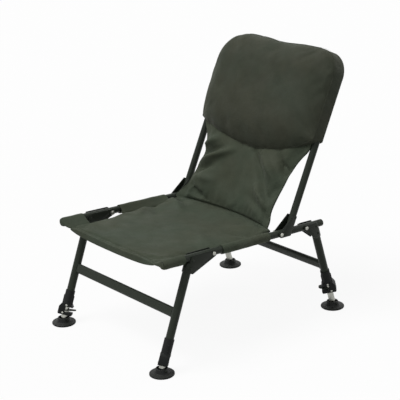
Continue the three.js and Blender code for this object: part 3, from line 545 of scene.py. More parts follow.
def moulded_plastic():
    """Black nylon: a fine spark-eroded grain, and where it looks up, dry dust together with a painted sheen of the
    light from above.
    """
    settings = bpy.context.scene.chair.plastic
    shader = Shader("moulded_plastic", {"Roughness": 0.5, "Specular IOR Level": 0.16})
    split = shader.add("ShaderNodeSeparateXYZ")
    shader.join(shader.add("ShaderNodeNewGeometry").outputs["Normal"], split.inputs["Vector"])
    # Faces that look up are painted lighter: partly dust, partly a painted sheen of the light from above
    upward = shader.ramp(split.outputs["Z"], [(0.55, 0), (1, 0.42)])
    dust_and_sheen_share = shader.maths("MULTIPLY", upward, shader.noise(size=0.009, detail=4))
    colour = shader.mix(dust_and_sheen_share, tuple(settings.colour), tuple(settings.dust_and_sheen_colour))
    rough = shader.ramp(shader.noise(size=0.008), [(0.3, 0.42), (0.7, 0.6)])
    grain = shader.bump(shader.noise(size=0.0009, detail=2), depth=0.00015, strength=0.5)
    return shader.finish(colour, rough, grain)


def sewing_thread():
    """Twisted polyester thread, lighter and darker along its way."""
    colour = bpy.context.scene.chair.stitch.colour
    shader = Shader("sewing_thread", {"Roughness": 0.6})
    tone = shader.ramp(
        shader.noise(size=0.004, detail=2), [(0.3, shade(colour, 0.8)), (0.7, shade(colour, 1.3))]
    )
    twist = shader.bump(shader.noise(size=0.0004, detail=1), depth=0.0001, strength=0.5)
    return shader.finish(tone, None, twist)


MAKERS = {
    "frame_steel": powder_coat,
    "bright_steel": bright_steel,
    "black_plastic": moulded_plastic,
    "seat_fabric": lambda: woven_cover("seat_cover", bpy.context.scene.chair.fabric.seat_colour),
    "pillow_fabric": lambda: woven_cover(
        "pillow_cover", bpy.context.scene.chair.fabric.pillow_colour
    ),
    "thread": sewing_thread,
}
finishes = {}


def finish_of(slot):
    """The material for a slot of the record, or for the thread, made once."""
    if slot not in finishes:
        finishes[slot] = MAKERS[slot]()
    return finishes[slot]


# Meshes

JOINED = 2e-5  # points of a CAD solid that are nearer than this become one
FLAT = math.radians(0.5)  # its faces that meet at less become one
# Degrees by which edges that are rounded, and those that are sharp afterwards, turn more
BEVEL_TURN, BEVEL_SHARP_TURN = 5, 15


def add_piece(name, mesh, slot, body=None):
    """A piece of the chair in the finish of a slot, riding on a body."""
    mesh.name = name
    piece = bpy.data.objects.new(name, mesh)
    bpy.context.scene.collection.objects.link(piece)
    mesh.materials.clear()
    mesh.materials.append(finish_of(slot))
    if body:
        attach(piece, body)
    return piece


def mesh_of(points, faces):
    mesh = bpy.data.meshes.new("cut")
    mesh.from_pydata([tuple(p) for p in points], [], [tuple(f) for f in faces])
    return mesh


def coordinates(mesh):
    points = np.empty(len(mesh.vertices) * 3)
    mesh.vertices.foreach_get("co", points)
    return points.reshape(-1, 3)


def set_coordinates(mesh, points):
    mesh.vertices.foreach_set("co", np.asarray(points, float).reshape(-1))
    mesh.update()


def normals(mesh):
    directions = np.empty(len(mesh.vertices) * 3)
    mesh.vertices.foreach_get("normal", directions)
    return directions.reshape(-1, 3)


def rework(mesh, *steps):
    """Takes a mesh through steps that work on its faces and points."""
    work = bmesh.new()
    work.from_mesh(mesh)
    for step in steps:
        step(work)
    work.to_mesh(mesh)
    work.free()
    return mesh


def merge(reach):
    """The step that merges points nearer than reach."""
    return lambda work: bmesh.ops.remove_doubles(work, verts=work.verts, dist=reach)


def join_flats(work):
    bmesh.ops.dissolve_limit(
        work, angle_limit=FLAT, verts=work.verts, edges=work.edges, delimit={"NORMAL"}
    )


def face_out(work):
    bmesh.ops.recalc_face_normals(work, faces=work.faces)


def smooth(work):
    for face in work.faces:
        face.smooth = True


def tidy(mesh, reach, turn):
    """Merges points, turns the faces outwards and smooths edges of less than turn degrees."""
    rework(mesh, merge(reach), face_out, smooth)
    mesh.set_sharp_from_angle(angle=math.radians(turn))
    return mesh


def settled(piece):
    """Applies a piece's modifiers and returns the mesh."""
    graph = bpy.context.evaluated_depsgraph_get()
    graph.update()
    mesh = bpy.data.meshes.new_from_object(piece.evaluated_get(graph))
    piece.modifiers.clear()
    old = piece.data
    piece.data = mesh
    bpy.data.meshes.remove(old)
    return mesh


def subdivided(piece):
    """Splits each face of a cloth piece in four and rounds it."""
    modifier = piece.modifiers.new("smooth", "SUBSURF")
    modifier.levels = modifier.render_levels = 1
    settled(piece).shade_smooth()


def dress(node, edge_round=0.0, turn=30):
    """A finished copy of a CAD solid: joined up, rounded on its edges and smooth on its tubes."""
    source = frame["nodes"][node].data
    mesh = mesh_of(coordinates(source), [face.vertices for face in source.polygons])
    rework(mesh, merge(JOINED), join_flats, smooth)
    mesh.set_sharp_from_angle(angle=math.radians(turn))
    piece = add_piece(f"{node}_finished", mesh, SLOT_OF[node])
    if edge_round:
        bevel = piece.modifiers.new("edges", "BEVEL")
        bevel.width = edge_round
        bevel.segments = 2
        bevel.limit_method = "ANGLE"
        bevel.angle_limit = math.radians(turn + BEVEL_TURN)
        bevel.use_clamp_overlap = True
        settled(piece).set_sharp_from_angle(angle=math.radians(turn + BEVEL_SHARP_TURN))
    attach(piece, BODY_OF[node])
    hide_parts(node)
    return piece


def dress_all(*starts, edge_round=0.0, turn=30):
    """Finished copies of the solids whose names start in one of these ways."""
    for node in [node for node in frame["nodes"] if node.startswith(starts)]:
        dress(node, edge_round, turn)


# Geometry Nodes for what repeats

HEAD_SEGMENTS, HEAD_RINGS = 18, 9
STITCH_SEGMENTS, STITCH_RINGS = 6, 4


class Pattern(Nodes):
    """A Geometry Nodes tree under construction, with its sizes as named inputs."""

    def __init__(self, name, *sizes):
        super().__init__(bpy.data.node_groups.new(name, "GeometryNodeTree"))
        interface = self.tree.interface
        interface.new_socket("Geometry", in_out="INPUT", socket_type="NodeSocketGeometry")
        self.sizes = {
            size: interface.new_socket(
                size, in_out="INPUT", socket_type="NodeSocketFloat"
            ).identifier
            for size in sizes
        }
        interface.new_socket("Geometry", in_out="OUTPUT", socket_type="NodeSocketGeometry")
        self.start = self.add("NodeGroupInput")
        self.end = self.add("NodeGroupOutput")

    def ball(self, segments, rings, *sizes):
        """A ball whose radii along x, y and z are three sizes of the pattern."""
        ball = self.add("GeometryNodeMeshUVSphere")
        for name, value in (("Segments", segments), ("Rings", rings), ("Radius", 1)):
            ball.inputs[name].default_value = value
        scale = self.add("ShaderNodeCombineXYZ")
        for axis, size in zip("XYZ", sizes):
            self.join(self.start.outputs[size], scale.inputs[axis])
        move = self.add("GeometryNodeTransform")
        self.join(ball.outputs["Mesh"], move.inputs["Geometry"])
        self.join(scale.outputs[0], move.inputs["Scale"])
        return move.outputs["Geometry"]

    def place(self, points, shape, facing, axis):
        """One copy of shape on each point, with axis turned to a vector."""
        turn = self.add("FunctionNodeAlignRotationToVector", axis=axis)
        self.join(facing, turn.inputs["Vector"])
        copies = self.add("GeometryNodeInstanceOnPoints")
        self.join(points, copies.inputs["Points"])
        self.join(shape, copies.inputs["Instance"])
        self.join(turn.outputs["Rotation"], copies.inputs["Rotation"])
        return copies.outputs["Instances"]

    def close(self, copies, material):
        """Turns the copies into plain faces in a material."""
        real = self.add("GeometryNodeRealizeInstances")
        painted = self.add("GeometryNodeSetMaterial")
        painted.inputs["Material"].default_value = material
        smooth_faces = self.add("GeometryNodeSetShadeSmooth")
        self.join(copies, real.inputs["Geometry"])
        self.join(real.outputs["Geometry"], painted.inputs["Geometry"])
        self.join(painted.outputs["Geometry"], smooth_faces.inputs["Geometry"])
        self.join(smooth_faces.outputs["Geometry"], self.end.inputs["Geometry"])


def run_pattern(pattern, mesh, sizes):
    """The plain mesh that a pattern makes from a mesh of points or lines."""
    carrier = bpy.data.objects.new("carrier", mesh)
    bpy.context.scene.collection.objects.link(carrier)
    modifier = carrier.modifiers.new("pattern", "NODES")
    modifier.node_group = pattern.tree
    for name, value in sizes.items():
        modifier[pattern.sizes[name]] = value
    graph = bpy.context.evaluated_depsgraph_get()
    result = bpy.data.meshes.new_from_object(carrier.evaluated_get(graph))
    bpy.data.objects.remove(carrier)
    return result


def rivet_pattern(slot):
    """Domed heads on points that carry the way they face."""
    pattern = Pattern("rivets", "Head radius", "Head rise")
    head = pattern.ball(HEAD_SEGMENTS, HEAD_RINGS, "Head radius", "Head radius", "Head rise")
    facing = pattern.add("GeometryNodeInputNamedAttribute", data_type="FLOAT_VECTOR")
    facing.inputs["Name"].default_value = "facing"
    points = pattern.start.outputs["Geometry"]
    pattern.close(pattern.place(points, head, facing.outputs["Attribute"], "Z"), finish_of(slot))
    return pattern


def stitch_pattern():
    """Long beads of thread at even steps along lines."""
    pattern = Pattern("stitches", "Pitch", "Half length", "Thread radius")
    line = pattern.add("GeometryNodeMeshToCurve")
    even = pattern.add("GeometryNodeResampleCurve", mode="LENGTH")
    pattern.join(pattern.start.outputs["Geometry"], line.inputs["Mesh"])
    pattern.join(line.outputs["Curve"], even.inputs["Curve"])
    pattern.join(pattern.start.outputs["Pitch"], even.inputs["Length"])
    radii = ("Half length", "Thread radius", "Thread radius")
    stitch = pattern.ball(STITCH_SEGMENTS, STITCH_RINGS, *radii)
    tangent = pattern.add("GeometryNodeInputTangent").outputs["Tangent"]
    pattern.close(pattern.place(even.outputs["Curve"], stitch, tangent, "X"), finish_of("thread"))
    return pattern


patterns = {}


def rivets(name, spots, body, slot="frame_steel", radius=None, rise=None):
    """Rivets or screws at spots of (point, outward direction), as one piece."""
    settings = bpy.context.scene.chair.metal
    if slot not in patterns:
        patterns[slot] = rivet_pattern(slot)
    mesh = mesh_of([point for point, _ in spots], [])
    facing = mesh.attributes.new("facing", "FLOAT_VECTOR", "POINT")
    facing.data.foreach_set("vector", [c for _, way in spots for c in way])
    sizes = {
        "Head radius": radius or settings.rivet_radius,
        "Head rise": rise or settings.rivet_rise,
    }
    return add_piece(name, run_pattern(patterns[slot], mesh, sizes), slot, body)


def stitches(name, lines, body):
    """Rows of stitches along lines of points, as one piece."""
    settings = bpy.context.scene.chair.stitch
    points, edges = [], []
    for line in lines:
        edges += [(len(points) + k, len(points) + k + 1) for k in range(len(line) - 1)]
        points += line
    mesh = bpy.data.meshes.new("rows")
    mesh.from_pydata([tuple(p) for p in points], edges, [])
    sizes = {
        "Pitch": settings.pitch,
        "Half length": settings.length / 2,
        "Thread radius": settings.thread,
    }
    if "stitches" not in patterns:
        patterns["stitches"] = stitch_pattern()
    return add_piece(name, run_pattern(patterns["stitches"], mesh, sizes), "thread", body)


# Beads, such as piping and welds

BEAD_SIDES = 10
BEAD_MERGE = 1e-7
BEAD_TURN = 38  # degrees up to which its edges are smooth
ASKEW = Vector((0.31, 0.87, 0.38))  # a direction that no bead of the chair follows
RIPPLE_TURN = 1.9  # radians by which a weld's ripple turns from one point to the next


def band(near, far):
    """Faces between two rings of points."""
    ends = [(n, (n + 1) % len(near)) for n in range(len(near))]
    return [(near[n], near[m], far[m], far[n]) for n, m in ends]


def bead(name, points, radius, slot, body, ripple=0.0):
    """A round bead along a closed line of points."""
    rings = []
    for k, point in enumerate(points):
        way = (points[(k + 1) % len(points)] - points[k - 1]).normalized()
        side = way.cross(ASKEW).normalized()
        rise = way.cross(side)
        size = radius * (1 + ripple * math.sin(k * RIPPLE_TURN))
        turns = (2 * math.pi * s / BEAD_SIDES for s in range(BEAD_SIDES))
        rings += [point + (side * math.cos(a) + rise * math.sin(a)) * size for a in turns]
    starts = [k * BEAD_SIDES for k in range(len(points))]
    faces = []
    for here, there in zip(starts, starts[1:] + starts[:1]):
        faces += band(range(here, here + BEAD_SIDES), range(there, there + BEAD_SIDES))
    return add_piece(name, tidy(mesh_of(rings, faces), BEAD_MERGE, BEAD_TURN), slot, body)


# Padded cloth

BORDER_ROWS = 6  # rows of faces round a cushion's border
STUFF_REACH = 0.006  # how far the filling may swell a cover
STUFF_STEPS = 20
LINE_FADE = 0.12  # share of a half wave that is cut off at each end of a fold


def shell(front, back):
    """Points and faces of a closed mesh from two faces of points, joined round their borders,
    and the loops of points that do so."""
    columns, rows = front.shape[:2]
    points = [*front.reshape(-1, 3), *back.reshape(-1, 3)]
    half = columns * rows
    faces = []
    for i in range(columns - 1):
        for j in range(rows - 1):
            a, b = i * rows + j, (i + 1) * rows + j
            faces.append((a, b, b + 1, a + 1))
            faces.append((half + a, half + a + 1, half + b + 1, half + b))
    border = [i * rows for i in range(columns)]
    border += [(columns - 1) * rows + j for j in range(1, rows)]
    border += [i * rows + rows - 1 for i in range(columns - 2, -1, -1)]
    border += range(rows - 2, 0, -1)
    loops = [border]
    for k in range(1, BORDER_ROWS):
        share = k / BORDER_ROWS
        start = len(points)
        points += [points[a] * (1 - share) + points[half + a] * share for a in border]
        loops.append(list(range(start, start + len(border))))
    loops.append([half + a for a in border])
    for near, far in zip(loops, loops[1:]):
        for k, a in enumerate(near):
            n = (k + 1) % len(near)
            faces.append((a, far[k], far[n], near[n]))
    return points, faces, loops


def stuff(piece, held, loose):
    """Swells a closed piece with cloth simulation. Held points stay, and no point moves
    further than STUFF_REACH. The cover is cut larger than what it covers by the share loose."""
    piece.vertex_groups.new(name="held").add([int(i) for i in held], 1.0, "REPLACE")
    cloth = piece.modifiers.new("stuffing", "CLOTH")
    rules = cloth.settings
    rules.quality = 6
    rules.mass = 0.2
    rules.tension_stiffness = rules.compression_stiffness = 14
    rules.shear_stiffness = 5
    rules.bending_stiffness = 0.4
    rules.vertex_group_mass = "held"
    rules.shrink_min = -loose
    rules.use_pressure = True
    rules.uniform_pressure_force = bpy.context.scene.chair.fabric.stuffing
    rules.effector_weights.gravity = 0
    cloth.collision_settings.use_collision = False
    cloth.point_cache.frame_start = 1
    cloth.point_cache.frame_end = STUFF_STEPS
    scene = bpy.context.scene
    for step in range(1, STUFF_STEPS + 1):
        scene.frame_set(step)
    graph = bpy.context.evaluated_depsgraph_get()
    swollen = coordinates(piece.evaluated_get(graph).data)
    cut = coordinates(piece.data)
    scene.frame_set(1)
    piece.modifiers.remove(cloth)
    piece.vertex_groups.clear()
    moved = swollen - cut
    far = np.linalg.norm(moved, axis=1, keepdims=True)
    moved *= STUFF_REACH * np.tanh(far / STUFF_REACH) / np.maximum(far, 1e-9)
    set_coordinates(piece.data, cut + moved)


def noise_at(points, rate, shift=(0, 0, 0)):
    """Smooth noise from -1 to 1 at points, where rate is how many times it changes in a metre."""
    return np.array([noise.noise(Vector(p) * rate + Vector(shift)) for p in points])


def near_line(points, line, width):
    """How near each flat point is to a line of corners: 1 on it, fading over width, and
    fading towards the line's ends."""
    best = np.zeros(len(points))
    line = np.asarray(line, float)
    lengths = np.linalg.norm(np.diff(line, axis=0), axis=1)
    total, gone = lengths.sum(), 0.0
    for a, b, length in zip(line, line[1:], lengths):
        t = np.clip((points - a) @ (b - a) / length**2, 0, 1)
        away = np.linalg.norm(points - a - t[:, None] * (b - a), axis=1)
        along = (gone + t * length) / total
        fade = np.sin(np.pi * (LINE_FADE + (1 - 2 * LINE_FADE) * along))
        best = np.maximum(best, np.exp(-((away / width) ** 2)) * fade)
        gone += length
    return best


# Folds of the back panel as (height share, width, corners across and up the panel)
PANEL_FOLDS = [
    (0.9, 0.011, [(-0.215, 0.184), (-0.136, 0.222)]),
    (-0.8, 0.010, [(-0.205, 0.155), (-0.107, 0.198)]),
    (1.0, 0.012, [(-0.195, 0.128), (-0.059, 0.203)]),
    (-0.9, 0.012, [(-0.205, 0.100), (-0.120, 0.136)]),
    (0.6, 0.014, [(-0.205, 0.078), (-0.100, 0.090)]),
    (-0.9, 0.013, [(-0.210, 0.065), (-0.114, 0.018)]),
    (-1.1, 0.013, [(0.032, 0.215), (0.082, 0.160), (0.165, 0.080)]),
    (1.2, 0.015, [(0.080, 0.218), (0.165, 0.145)]),
    (-0.9, 0.011, [(0.145, 0.225), (0.197, 0.165)]),
    (0.9, 0.013, [(0.095, 0.115), (0.165, 0.070)]),
    (-0.6, 0.014, [(0.070, 0.080), (0.190, 0.035)]),
]
# Folds of the seat as (height share, width, corners across and along the rails)
SEAT_FOLDS = [
    (0.5, 0.016, [(-0.225, 0.310), (-0.160, 0.235)]),
    (-0.4, 0.014, [(-0.222, 0.345), (-0.130, 0.280)]),
    (0.6, 0.014, [(-0.215, 0.410), (-0.110, 0.365)]),
    (-0.5, 0.012, [(-0.215, 0.432), (-0.140, 0.410)]),
    (0.5, 0.015, [(0.220, 0.420), (0.120, 0.380)]),
    (-0.4, 0.013, [(0.222, 0.380), (0.150, 0.330)]),
    (-0.35, 0.02, [(-0.190, 0.070), (-0.080, 0.040)]),
    (-0.35, 0.02, [(0.190, 0.070), (0.080, 0.040)]),
    (0.35, 0.02, [(0.190, 0.215), (0.090, 0.260)]),
]

# The sling: seat and back panel in one

SEAT_REAR = 0.468  # where the seat starts to turn up, in the middle
CORNER_CUT, CUT_POWER = 0.030, 3  # how much sooner at the sides, and how near to them
REAR_LIFT = 0.014  # rise of the seat to the crease
REAR_RUN = 0.11
FRONT_RUN = 0.06  # from the front edge to the brackets' half width
FRONT_DROOP, DROOP_RUN = 0.003, 0.05  # how far the front edge's middle hangs, and how far back
WIDENING = (0.150, 0.225)  # stretch of the rails over which the seat widens to the rear
BOXING, BOXING_RUN = 0.2, 0.03  # extra padding at the front edge, as a share, and its run
PINCH = 0.007  # over which the seat's padding thins towards the crease
PAD_POWER = 6  # the higher, the nearer to its sides the seat's padding thins
TURN_PULL = 0.38  # reach of the turn's curve handles, as a share of the gap that it spans
PANEL_START = 0.015  # where the panel is straight again, above the pivot's level
SIDE_START = 0.011  # how much lower that is at the sides
PANEL_AHEAD = 0.0105  # middle of the panel ahead of the tubes' axis
SIDE_REACH = 0.028  # how much further ahead its lower sides are
SIDE_REACH_END, SIDE_REACH_RUN = 0.05, 0.15  # height to which that lasts, and over which it goes
CREASE_REACH = 0.008  # and how much further again at the crease
CREASE_RUN = 0.03
LEFT_FOOT, RIGHT_FOOT = 0.05, 0.075  # heights over which the panel narrows from the crease
LOWER_ROLL = 0.028  # height over which the panel's padding rolls into it
ROLL_EXTRA, ROLL_EXTRA_RUN = 0.014, 0.04  # padding added there, and its height
HEM_TURN, HEM_TURN_RUN = 0.011, 0.05  # how far the panel's hems turn back, and over what height
HEM_FROM, HEM_STEP = 0.80, 0.08  # share where the hems start, and share over which padding ends
FLARE_START, FLARE_END = 0.15, 0.265  # heights between which the panel widens
PANEL_TOP = 0.241  # half width under the pillow
TOP_ROUNDS = 8  # rounds that find where the slanting top of the panel meets the pillow
FRONT_SEAM, FRONT_SEAM_WIDTH = 0.0145, 0.0034  # seam behind the seat's front edge
FRONT_SEAM_DEPTH = 0.004
SEAM_FACING = 0.5  # how far up cloth faces, as a share, to show the whole seam
PILLOW_TOP = 0.578
PILLOW_BOTTOM = 0.229
LEFT_LIFT, RIGHT_LIFT = 0.074, 0.052  # lower corners above the middle
LIFT_POWER = 2.5  # the higher, the nearer to the corners that rise lies
TOP_DIP, TOP_DIP_AT, TOP_DIP_WIDTH = 0.006, 0.01, 0.06  # hollow in the middle of the top edge
PILLOW_HALF = 0.26
TUCKED = 0.02  # panel that runs up inside the pillow

SLING_COLUMNS = 64
SIDE_CROWDING = 0.35  # how much closer together the columns are towards the sides
HEM_ROWS = [0, 0.0022, 0.0045, 0.007, 0.010, 0.0135, 0.018, 0.024]  # rows close to a hem
EVEN_FROM = 0.031  # where the rows between two hems start
SEAT_ROWS, TURN_ROWS, PANEL_ROWS = 46, 8, 27
HELD_ROWS = 4  # rows on either side of the turn that the filling leaves in place

PANEL_FROM, PANEL_BLEND = 0.01, 0.02  # height where the seat's folds give way to the panel's
BROAD_RATE, BROAD_RISE = 9.0, 0.0022  # broad waves of the cloth
RIPPLE_RATE, RIPPLE_RISE = 27.0, 0.0008  # small ones
RIPPLE_SHIFT = (3, 5, 7)
UNDERSIDE_SHARE = 0.35  # share of the folds that the sling's edges and underside have
CALM_HEIGHTS = [0.05, FLARE_START, PILLOW_BOTTOM]
CALM_HALVES = [0.193, 0.196, 0.23]  # half widths of the panel at these heights
CALM_SHARE, CALM_FROM, CALM_RUN = 0.75, 0.86, 0.12  # how much flatter folds are at its hems


def pillow_lower(x):
    lift = LEFT_LIFT if x > 0 else RIGHT_LIFT
    return PILLOW_BOTTOM + lift * abs(x / PILLOW_HALF) ** LIFT_POWER


def pillow_upper(x):
    pillow = bpy.context.scene.chair.pillow
    radius = pillow.left_radius if x > 0 else pillow.right_radius
    into = max(abs(x) - (PILLOW_HALF - radius), 0)
    top = PILLOW_TOP - TOP_DIP * math.exp(-(((x - TOP_DIP_AT) / TOP_DIP_WIDTH) ** 2))
    return top - radius + math.sqrt(max(radius**2 - into**2, 0))


def roll(away, reach):
    """Quarter ellipse: 0 at an edge, and 1 once away from it by reach."""
    return math.sqrt(1 - (1 - min(max(away / reach, 0), 1)) ** 2)


def sling_columns():
    """Places across the sling, from -1 on the sitter's right to 1 on the left."""
    return [
        math.sin((i / SLING_COLUMNS - 0.5) * math.pi) * SIDE_CROWDING
        + (2 * i / SLING_COLUMNS - 1) * (1 - SIDE_CROWDING)
        for i in range(SLING_COLUMNS + 1)
    ]


def sling_rows():
    """Stations from the front hem to the pillow, as (stretch, share of the stretch)."""
    evenly = np.linspace(EVEN_FROM, SEAT_REAR - EVEN_FROM, SEAT_ROWS)
    seat = [*HEM_ROWS, *evenly, *(SEAT_REAR - d for d in reversed(HEM_ROWS[1:]))]
    rows = [("seat", along / SEAT_REAR) for along in seat]
    rows += [("turn", k / TURN_ROWS) for k in range(TURN_ROWS)]
    reach = PILLOW_BOTTOM + TUCKED - PANEL_START
    panel = [*HEM_ROWS, *np.linspace(EVEN_FROM, reach, PANEL_ROWS)]
    return rows + [("panel", up / reach) for up in panel]


def seat_half(along):
    """Half width of the seat: narrow at the front edge and beside the brackets."""
    seat = bpy.context.scene.chair.seat
    front = seat.front_half + (seat.bracket_half - seat.front_half) * ease(along / FRONT_RUN)
    wider = ease((along - WIDENING[0]) / (WIDENING[1] - WIDENING[0]))
    return front + (seat.half_width - front) * wider


def seat_end(across):
    """Where the seat starts to turn up, along the rails."""
    return SEAT_REAR - CORNER_CUT * abs(across) ** CUT_POWER


def seat_height(across, along):
    """Middle of the padding above the rails' axes."""
    seat = bpy.context.scene.chair.seat
    bow = 1 - across**2
    lift = REAR_LIFT * ease((along - seat_end(across) + REAR_RUN) / REAR_RUN)
    droop = FRONT_DROOP * bow * (1 - ease(along / DROOP_RUN))
    return lift - seat.level - seat.sag * bow - droop


def corner_half(across):
    seat = bpy.context.scene.chair.seat
    return seat.near_corner if across > 0 else seat.far_corner


def panel_half(up):
    """Half width of the panel at a height, without its wide foot."""
    waist = bpy.context.scene.chair.seat.waist
    flare = min(max((up - FLARE_START) / (FLARE_END - FLARE_START), 0), 1) ** 2
    return waist + (PANEL_TOP - waist) * flare


def seat_point(across, share):
    along = seat_end(across) * share
    return on_rails(across * seat_half(along), along, seat_height(across, along))


def turn_point(across, share):
    """A point of the curve that takes the seat up into the panel."""
    seat = bpy.context.scene.chair.seat
    rear = seat_end(across)
    start = on_rails(0, rear, seat_height(across, rear))
    behind = TUBE_BEHIND - PANEL_AHEAD - SIDE_REACH * across**2 - CREASE_REACH * across**2
    end = on_back(0, behind, PANEL_START - SIDE_START * across**2)
    reach = (end - start).length * TURN_PULL
    first, second = start + RAIL_WAY * reach, end - BACK_UP * reach
    rest = 1 - share
    point = (
        start * rest**3
        + first * 3 * rest**2 * share
        + second * 3 * rest * share**2
        + end * share**3
    )
    half = seat.half_width + (corner_half(across) - seat.half_width) * ease(share)
    return point + Vector((across * half, 0, 0))


def panel_point(across, share):
    """A point of the panel, whose lower sides reach forward and whose hems turn back."""
    low = PANEL_START - SIDE_START * across**2
    top = PILLOW_BOTTOM
    for _ in range(TOP_ROUNDS):
        top = pillow_lower(across * panel_half(top)) + TUCKED
    up = low + (top - low) * share
    foot = 1 - ease((up - low) / (LEFT_FOOT if across > 0 else RIGHT_FOOT))
    half = panel_half(up) + (corner_half(across) - bpy.context.scene.chair.seat.waist) * foot
    forward = SIDE_REACH * across**2 * (1 - ease((up - SIDE_REACH_END) / SIDE_REACH_RUN))
    forward += CREASE_REACH * across**2 * (1 - ease((up - low) / CREASE_RUN))
    turned = 1 - max(abs(across) - HEM_FROM, 0) / (1 - HEM_FROM)
    forward += HEM_TURN * turned * ease(abs(across) / HEM_FROM) * ease((up - low) / HEM_TURN_RUN)
    return on_back(across * half, TUBE_BEHIND - PANEL_AHEAD - forward, up)


def seat_thickness(across, share):
    seat = bpy.context.scene.chair.seat
    along = SEAT_REAR * share
    pinch = ease((along - SEAT_REAR + PINCH) / PINCH)
    full = seat.thickness * (1 + BOXING * (1 - ease(along / BOXING_RUN)))
    middle = full + (seat.crease - full) * pinch
    side = seat.edge + (seat.crease - seat.edge) * pinch
    return side + (middle - side) * (1 - abs(across) ** PAD_POWER)


def turn_thickness(across, share):
    return bpy.context.scene.chair.seat.crease


def panel_thickness(across, share):
    seat = bpy.context.scene.chair.seat
    away = share * (PILLOW_BOTTOM + TUCKED - PANEL_START)
    full = roll(away, LOWER_ROLL)
    thick = seat.back_thickness + ROLL_EXTRA * math.exp(-((away / ROLL_EXTRA_RUN) ** 2))
    middle = seat.crease + (thick - seat.crease) * full
    side = seat.crease + (seat.edge - seat.crease) * full
    return side + (middle - side) * (1 - ease((abs(across) - HEM_FROM) / HEM_STEP))


# For each stretch of the sling, its middle surface and its thickness
STRETCHES = {
    "seat": (seat_point, seat_thickness),
    "turn": (turn_point, turn_thickness),
    "panel": (panel_point, panel_thickness),
}


def build_sling():
    """Points and faces of the sling, and the points that its filling leaves in place."""
    columns, rows = sling_columns(), sling_rows()
    middle = np.zeros((len(columns), len(rows), 3))
    half = np.zeros((len(columns), len(rows), 1))
    for i, across in enumerate(columns):
        for j, (stretch, share) in enumerate(rows):
            point, thickness = STRETCHES[stretch]
            middle[i, j] = point(across, share)
            half[i, j] = thickness(across, share) / 2
    out = np.cross(np.gradient(middle, axis=0), np.gradient(middle, axis=1))
    out /= np.linalg.norm(out, axis=2, keepdims=True)
    points, faces, loops = shell(middle + out * half, middle - out * half)
    turns = [j for j, (stretch, _) in enumerate(rows) if stretch == "turn"]
    turn = range(turns[0] - HELD_ROWS, turns[-1] + HELD_ROWS + 1)
    held = {a for loop in loops for a in loop}
    kept_rows = [1, 2, *turn, len(rows) - 2]
    for side in (0, len(columns) * len(rows)):
        for i in range(len(columns)):
            held |= {side + i * len(rows) + j for j in kept_rows}
    return points, faces, sorted(held)


def crumple(mesh):
    """Moves the sling's faces, the upper ones most, into the folds that its hang gives it."""
    depth = bpy.context.scene.chair.fabric.fold_depth
    points, out = coordinates(mesh), normals(mesh)
    up = (points - np.array(BACK_PIVOT)) @ np.array(BACK_UP)
    along = (points - np.array(FRONT_PIVOT)) @ np.array(RAIL_WAY) + FRONT_PIVOT_AT
    on_panel = ease((up - PANEL_FROM) / PANEL_BLEND)
    rise = np.zeros(len(points))
    for folds, lengthwise, here in (
        (PANEL_FOLDS, up, on_panel), (SEAT_FOLDS, along, 1 - on_panel)
    ):
        flat = np.stack([points[:, 0], lengthwise], axis=1)
        for share, width, line in folds:
            rise += share * near_line(flat, line, width) * here
    ripple = noise_at(points, RIPPLE_RATE, RIPPLE_SHIFT)
    rise = rise * depth + noise_at(points, BROAD_RATE) * BROAD_RISE + ripple * RIPPLE_RISE
    facing = np.where(on_panel > 0.5, out @ -np.array(BACK_REAR), out @ np.array(RAIL_UP))
    rise *= UNDERSIDE_SHARE + (1 - UNDERSIDE_SHARE) * np.clip(facing, 0, 1)
    drawn_in = np.exp(-(((along - FRONT_SEAM) / FRONT_SEAM_WIDTH) ** 2)) * (1 - on_panel)
    rise -= FRONT_SEAM_DEPTH * drawn_in * (1 + ripple) * ease(facing / SEAM_FACING)
    sideways = np.abs(points[:, 0]) / np.interp(up, CALM_HEIGHTS, CALM_HALVES)
    rise *= 1 - CALM_SHARE * on_panel * ease((sideways - CALM_FROM) / CALM_RUN)
    set_coordinates(mesh, points + out * rise[:, None])


class CHAIR_OT_sling(bpy.types.Operator):
    """Makes the padded sling that is both seat and back panel"""

    bl_idname = "chair.sling"
    bl_label = "Sling"

    def execute(self, context):
        points, faces, held = build_sling()
        piece = add_piece("sling", rework(mesh_of(points, faces), face_out), "seat_fabric")
        stuff(piece, held, context.scene.chair.fabric.sling_loose)
        subdivided(piece)
        crumple(piece.data)
        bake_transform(piece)
        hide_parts("seat_pad", "back_panel")
        return {"FINISHED"}


# Sleeves: cloth tubes round the rails, each with a tab that carries the sling

SLEEVES = {"front": (-0.0052, 0.077), "rear": (0.218, 0.407)}  # start and end along the rails
SLEEVE_RADIUS, SLEEVE_BORE = 0.0135, 0.0116
SLEEVE_SLACK = 0.0016  # how much looser the cloth is where it leaves the rail
SLEEVE_STATION = 0.006  # from one ring of points to the next
SLEEVE_ARC = 22  # steps round the rail
SLEEVE_MERGE = 1e-6
SLEEVE_TURN = 50  # degrees up to which its edges are smooth
ROOT_ANGLE, UNDER_ANGLE = math.radians(112), math.radians(222)  # where the tab leaves the rail
TAB_OVERLAP, TAB_DROP = 0.006, 0.001  # how far the tab runs into the sling, and lies below it
TAB_THICKNESS = 0.004
TAB_TOP_SHARES, TAB_UNDER_SHARES = (0.2, 0.4, 0.6, 0.8, 1.0), (0, 0.33, 0.67)
TAB_SAG = (-0.0006, -0.0012, -0.0012, -0.0006, 0)
ARC_WRINKLE, TAB_WRINKLE = 0.075, 0.02  # depth of the wrinkles, as shares of the size
WRINKLE_ACROSS, WRINKLE_ALONG = 60, 34  # how often they come in a metre
SIDE_SHIFT = (7, 0, 1)  # gives the two sides of the chair different wrinkles
CALM_RINGS = 3  # rings at each end over which the wrinkles fade
CLOSED_SHARES = (0.72, 0.95)  # size of the first rings of a closed end, as shares
CLOSED_STEP = 0.0014  # from the outer cloth to the inner at a closed end


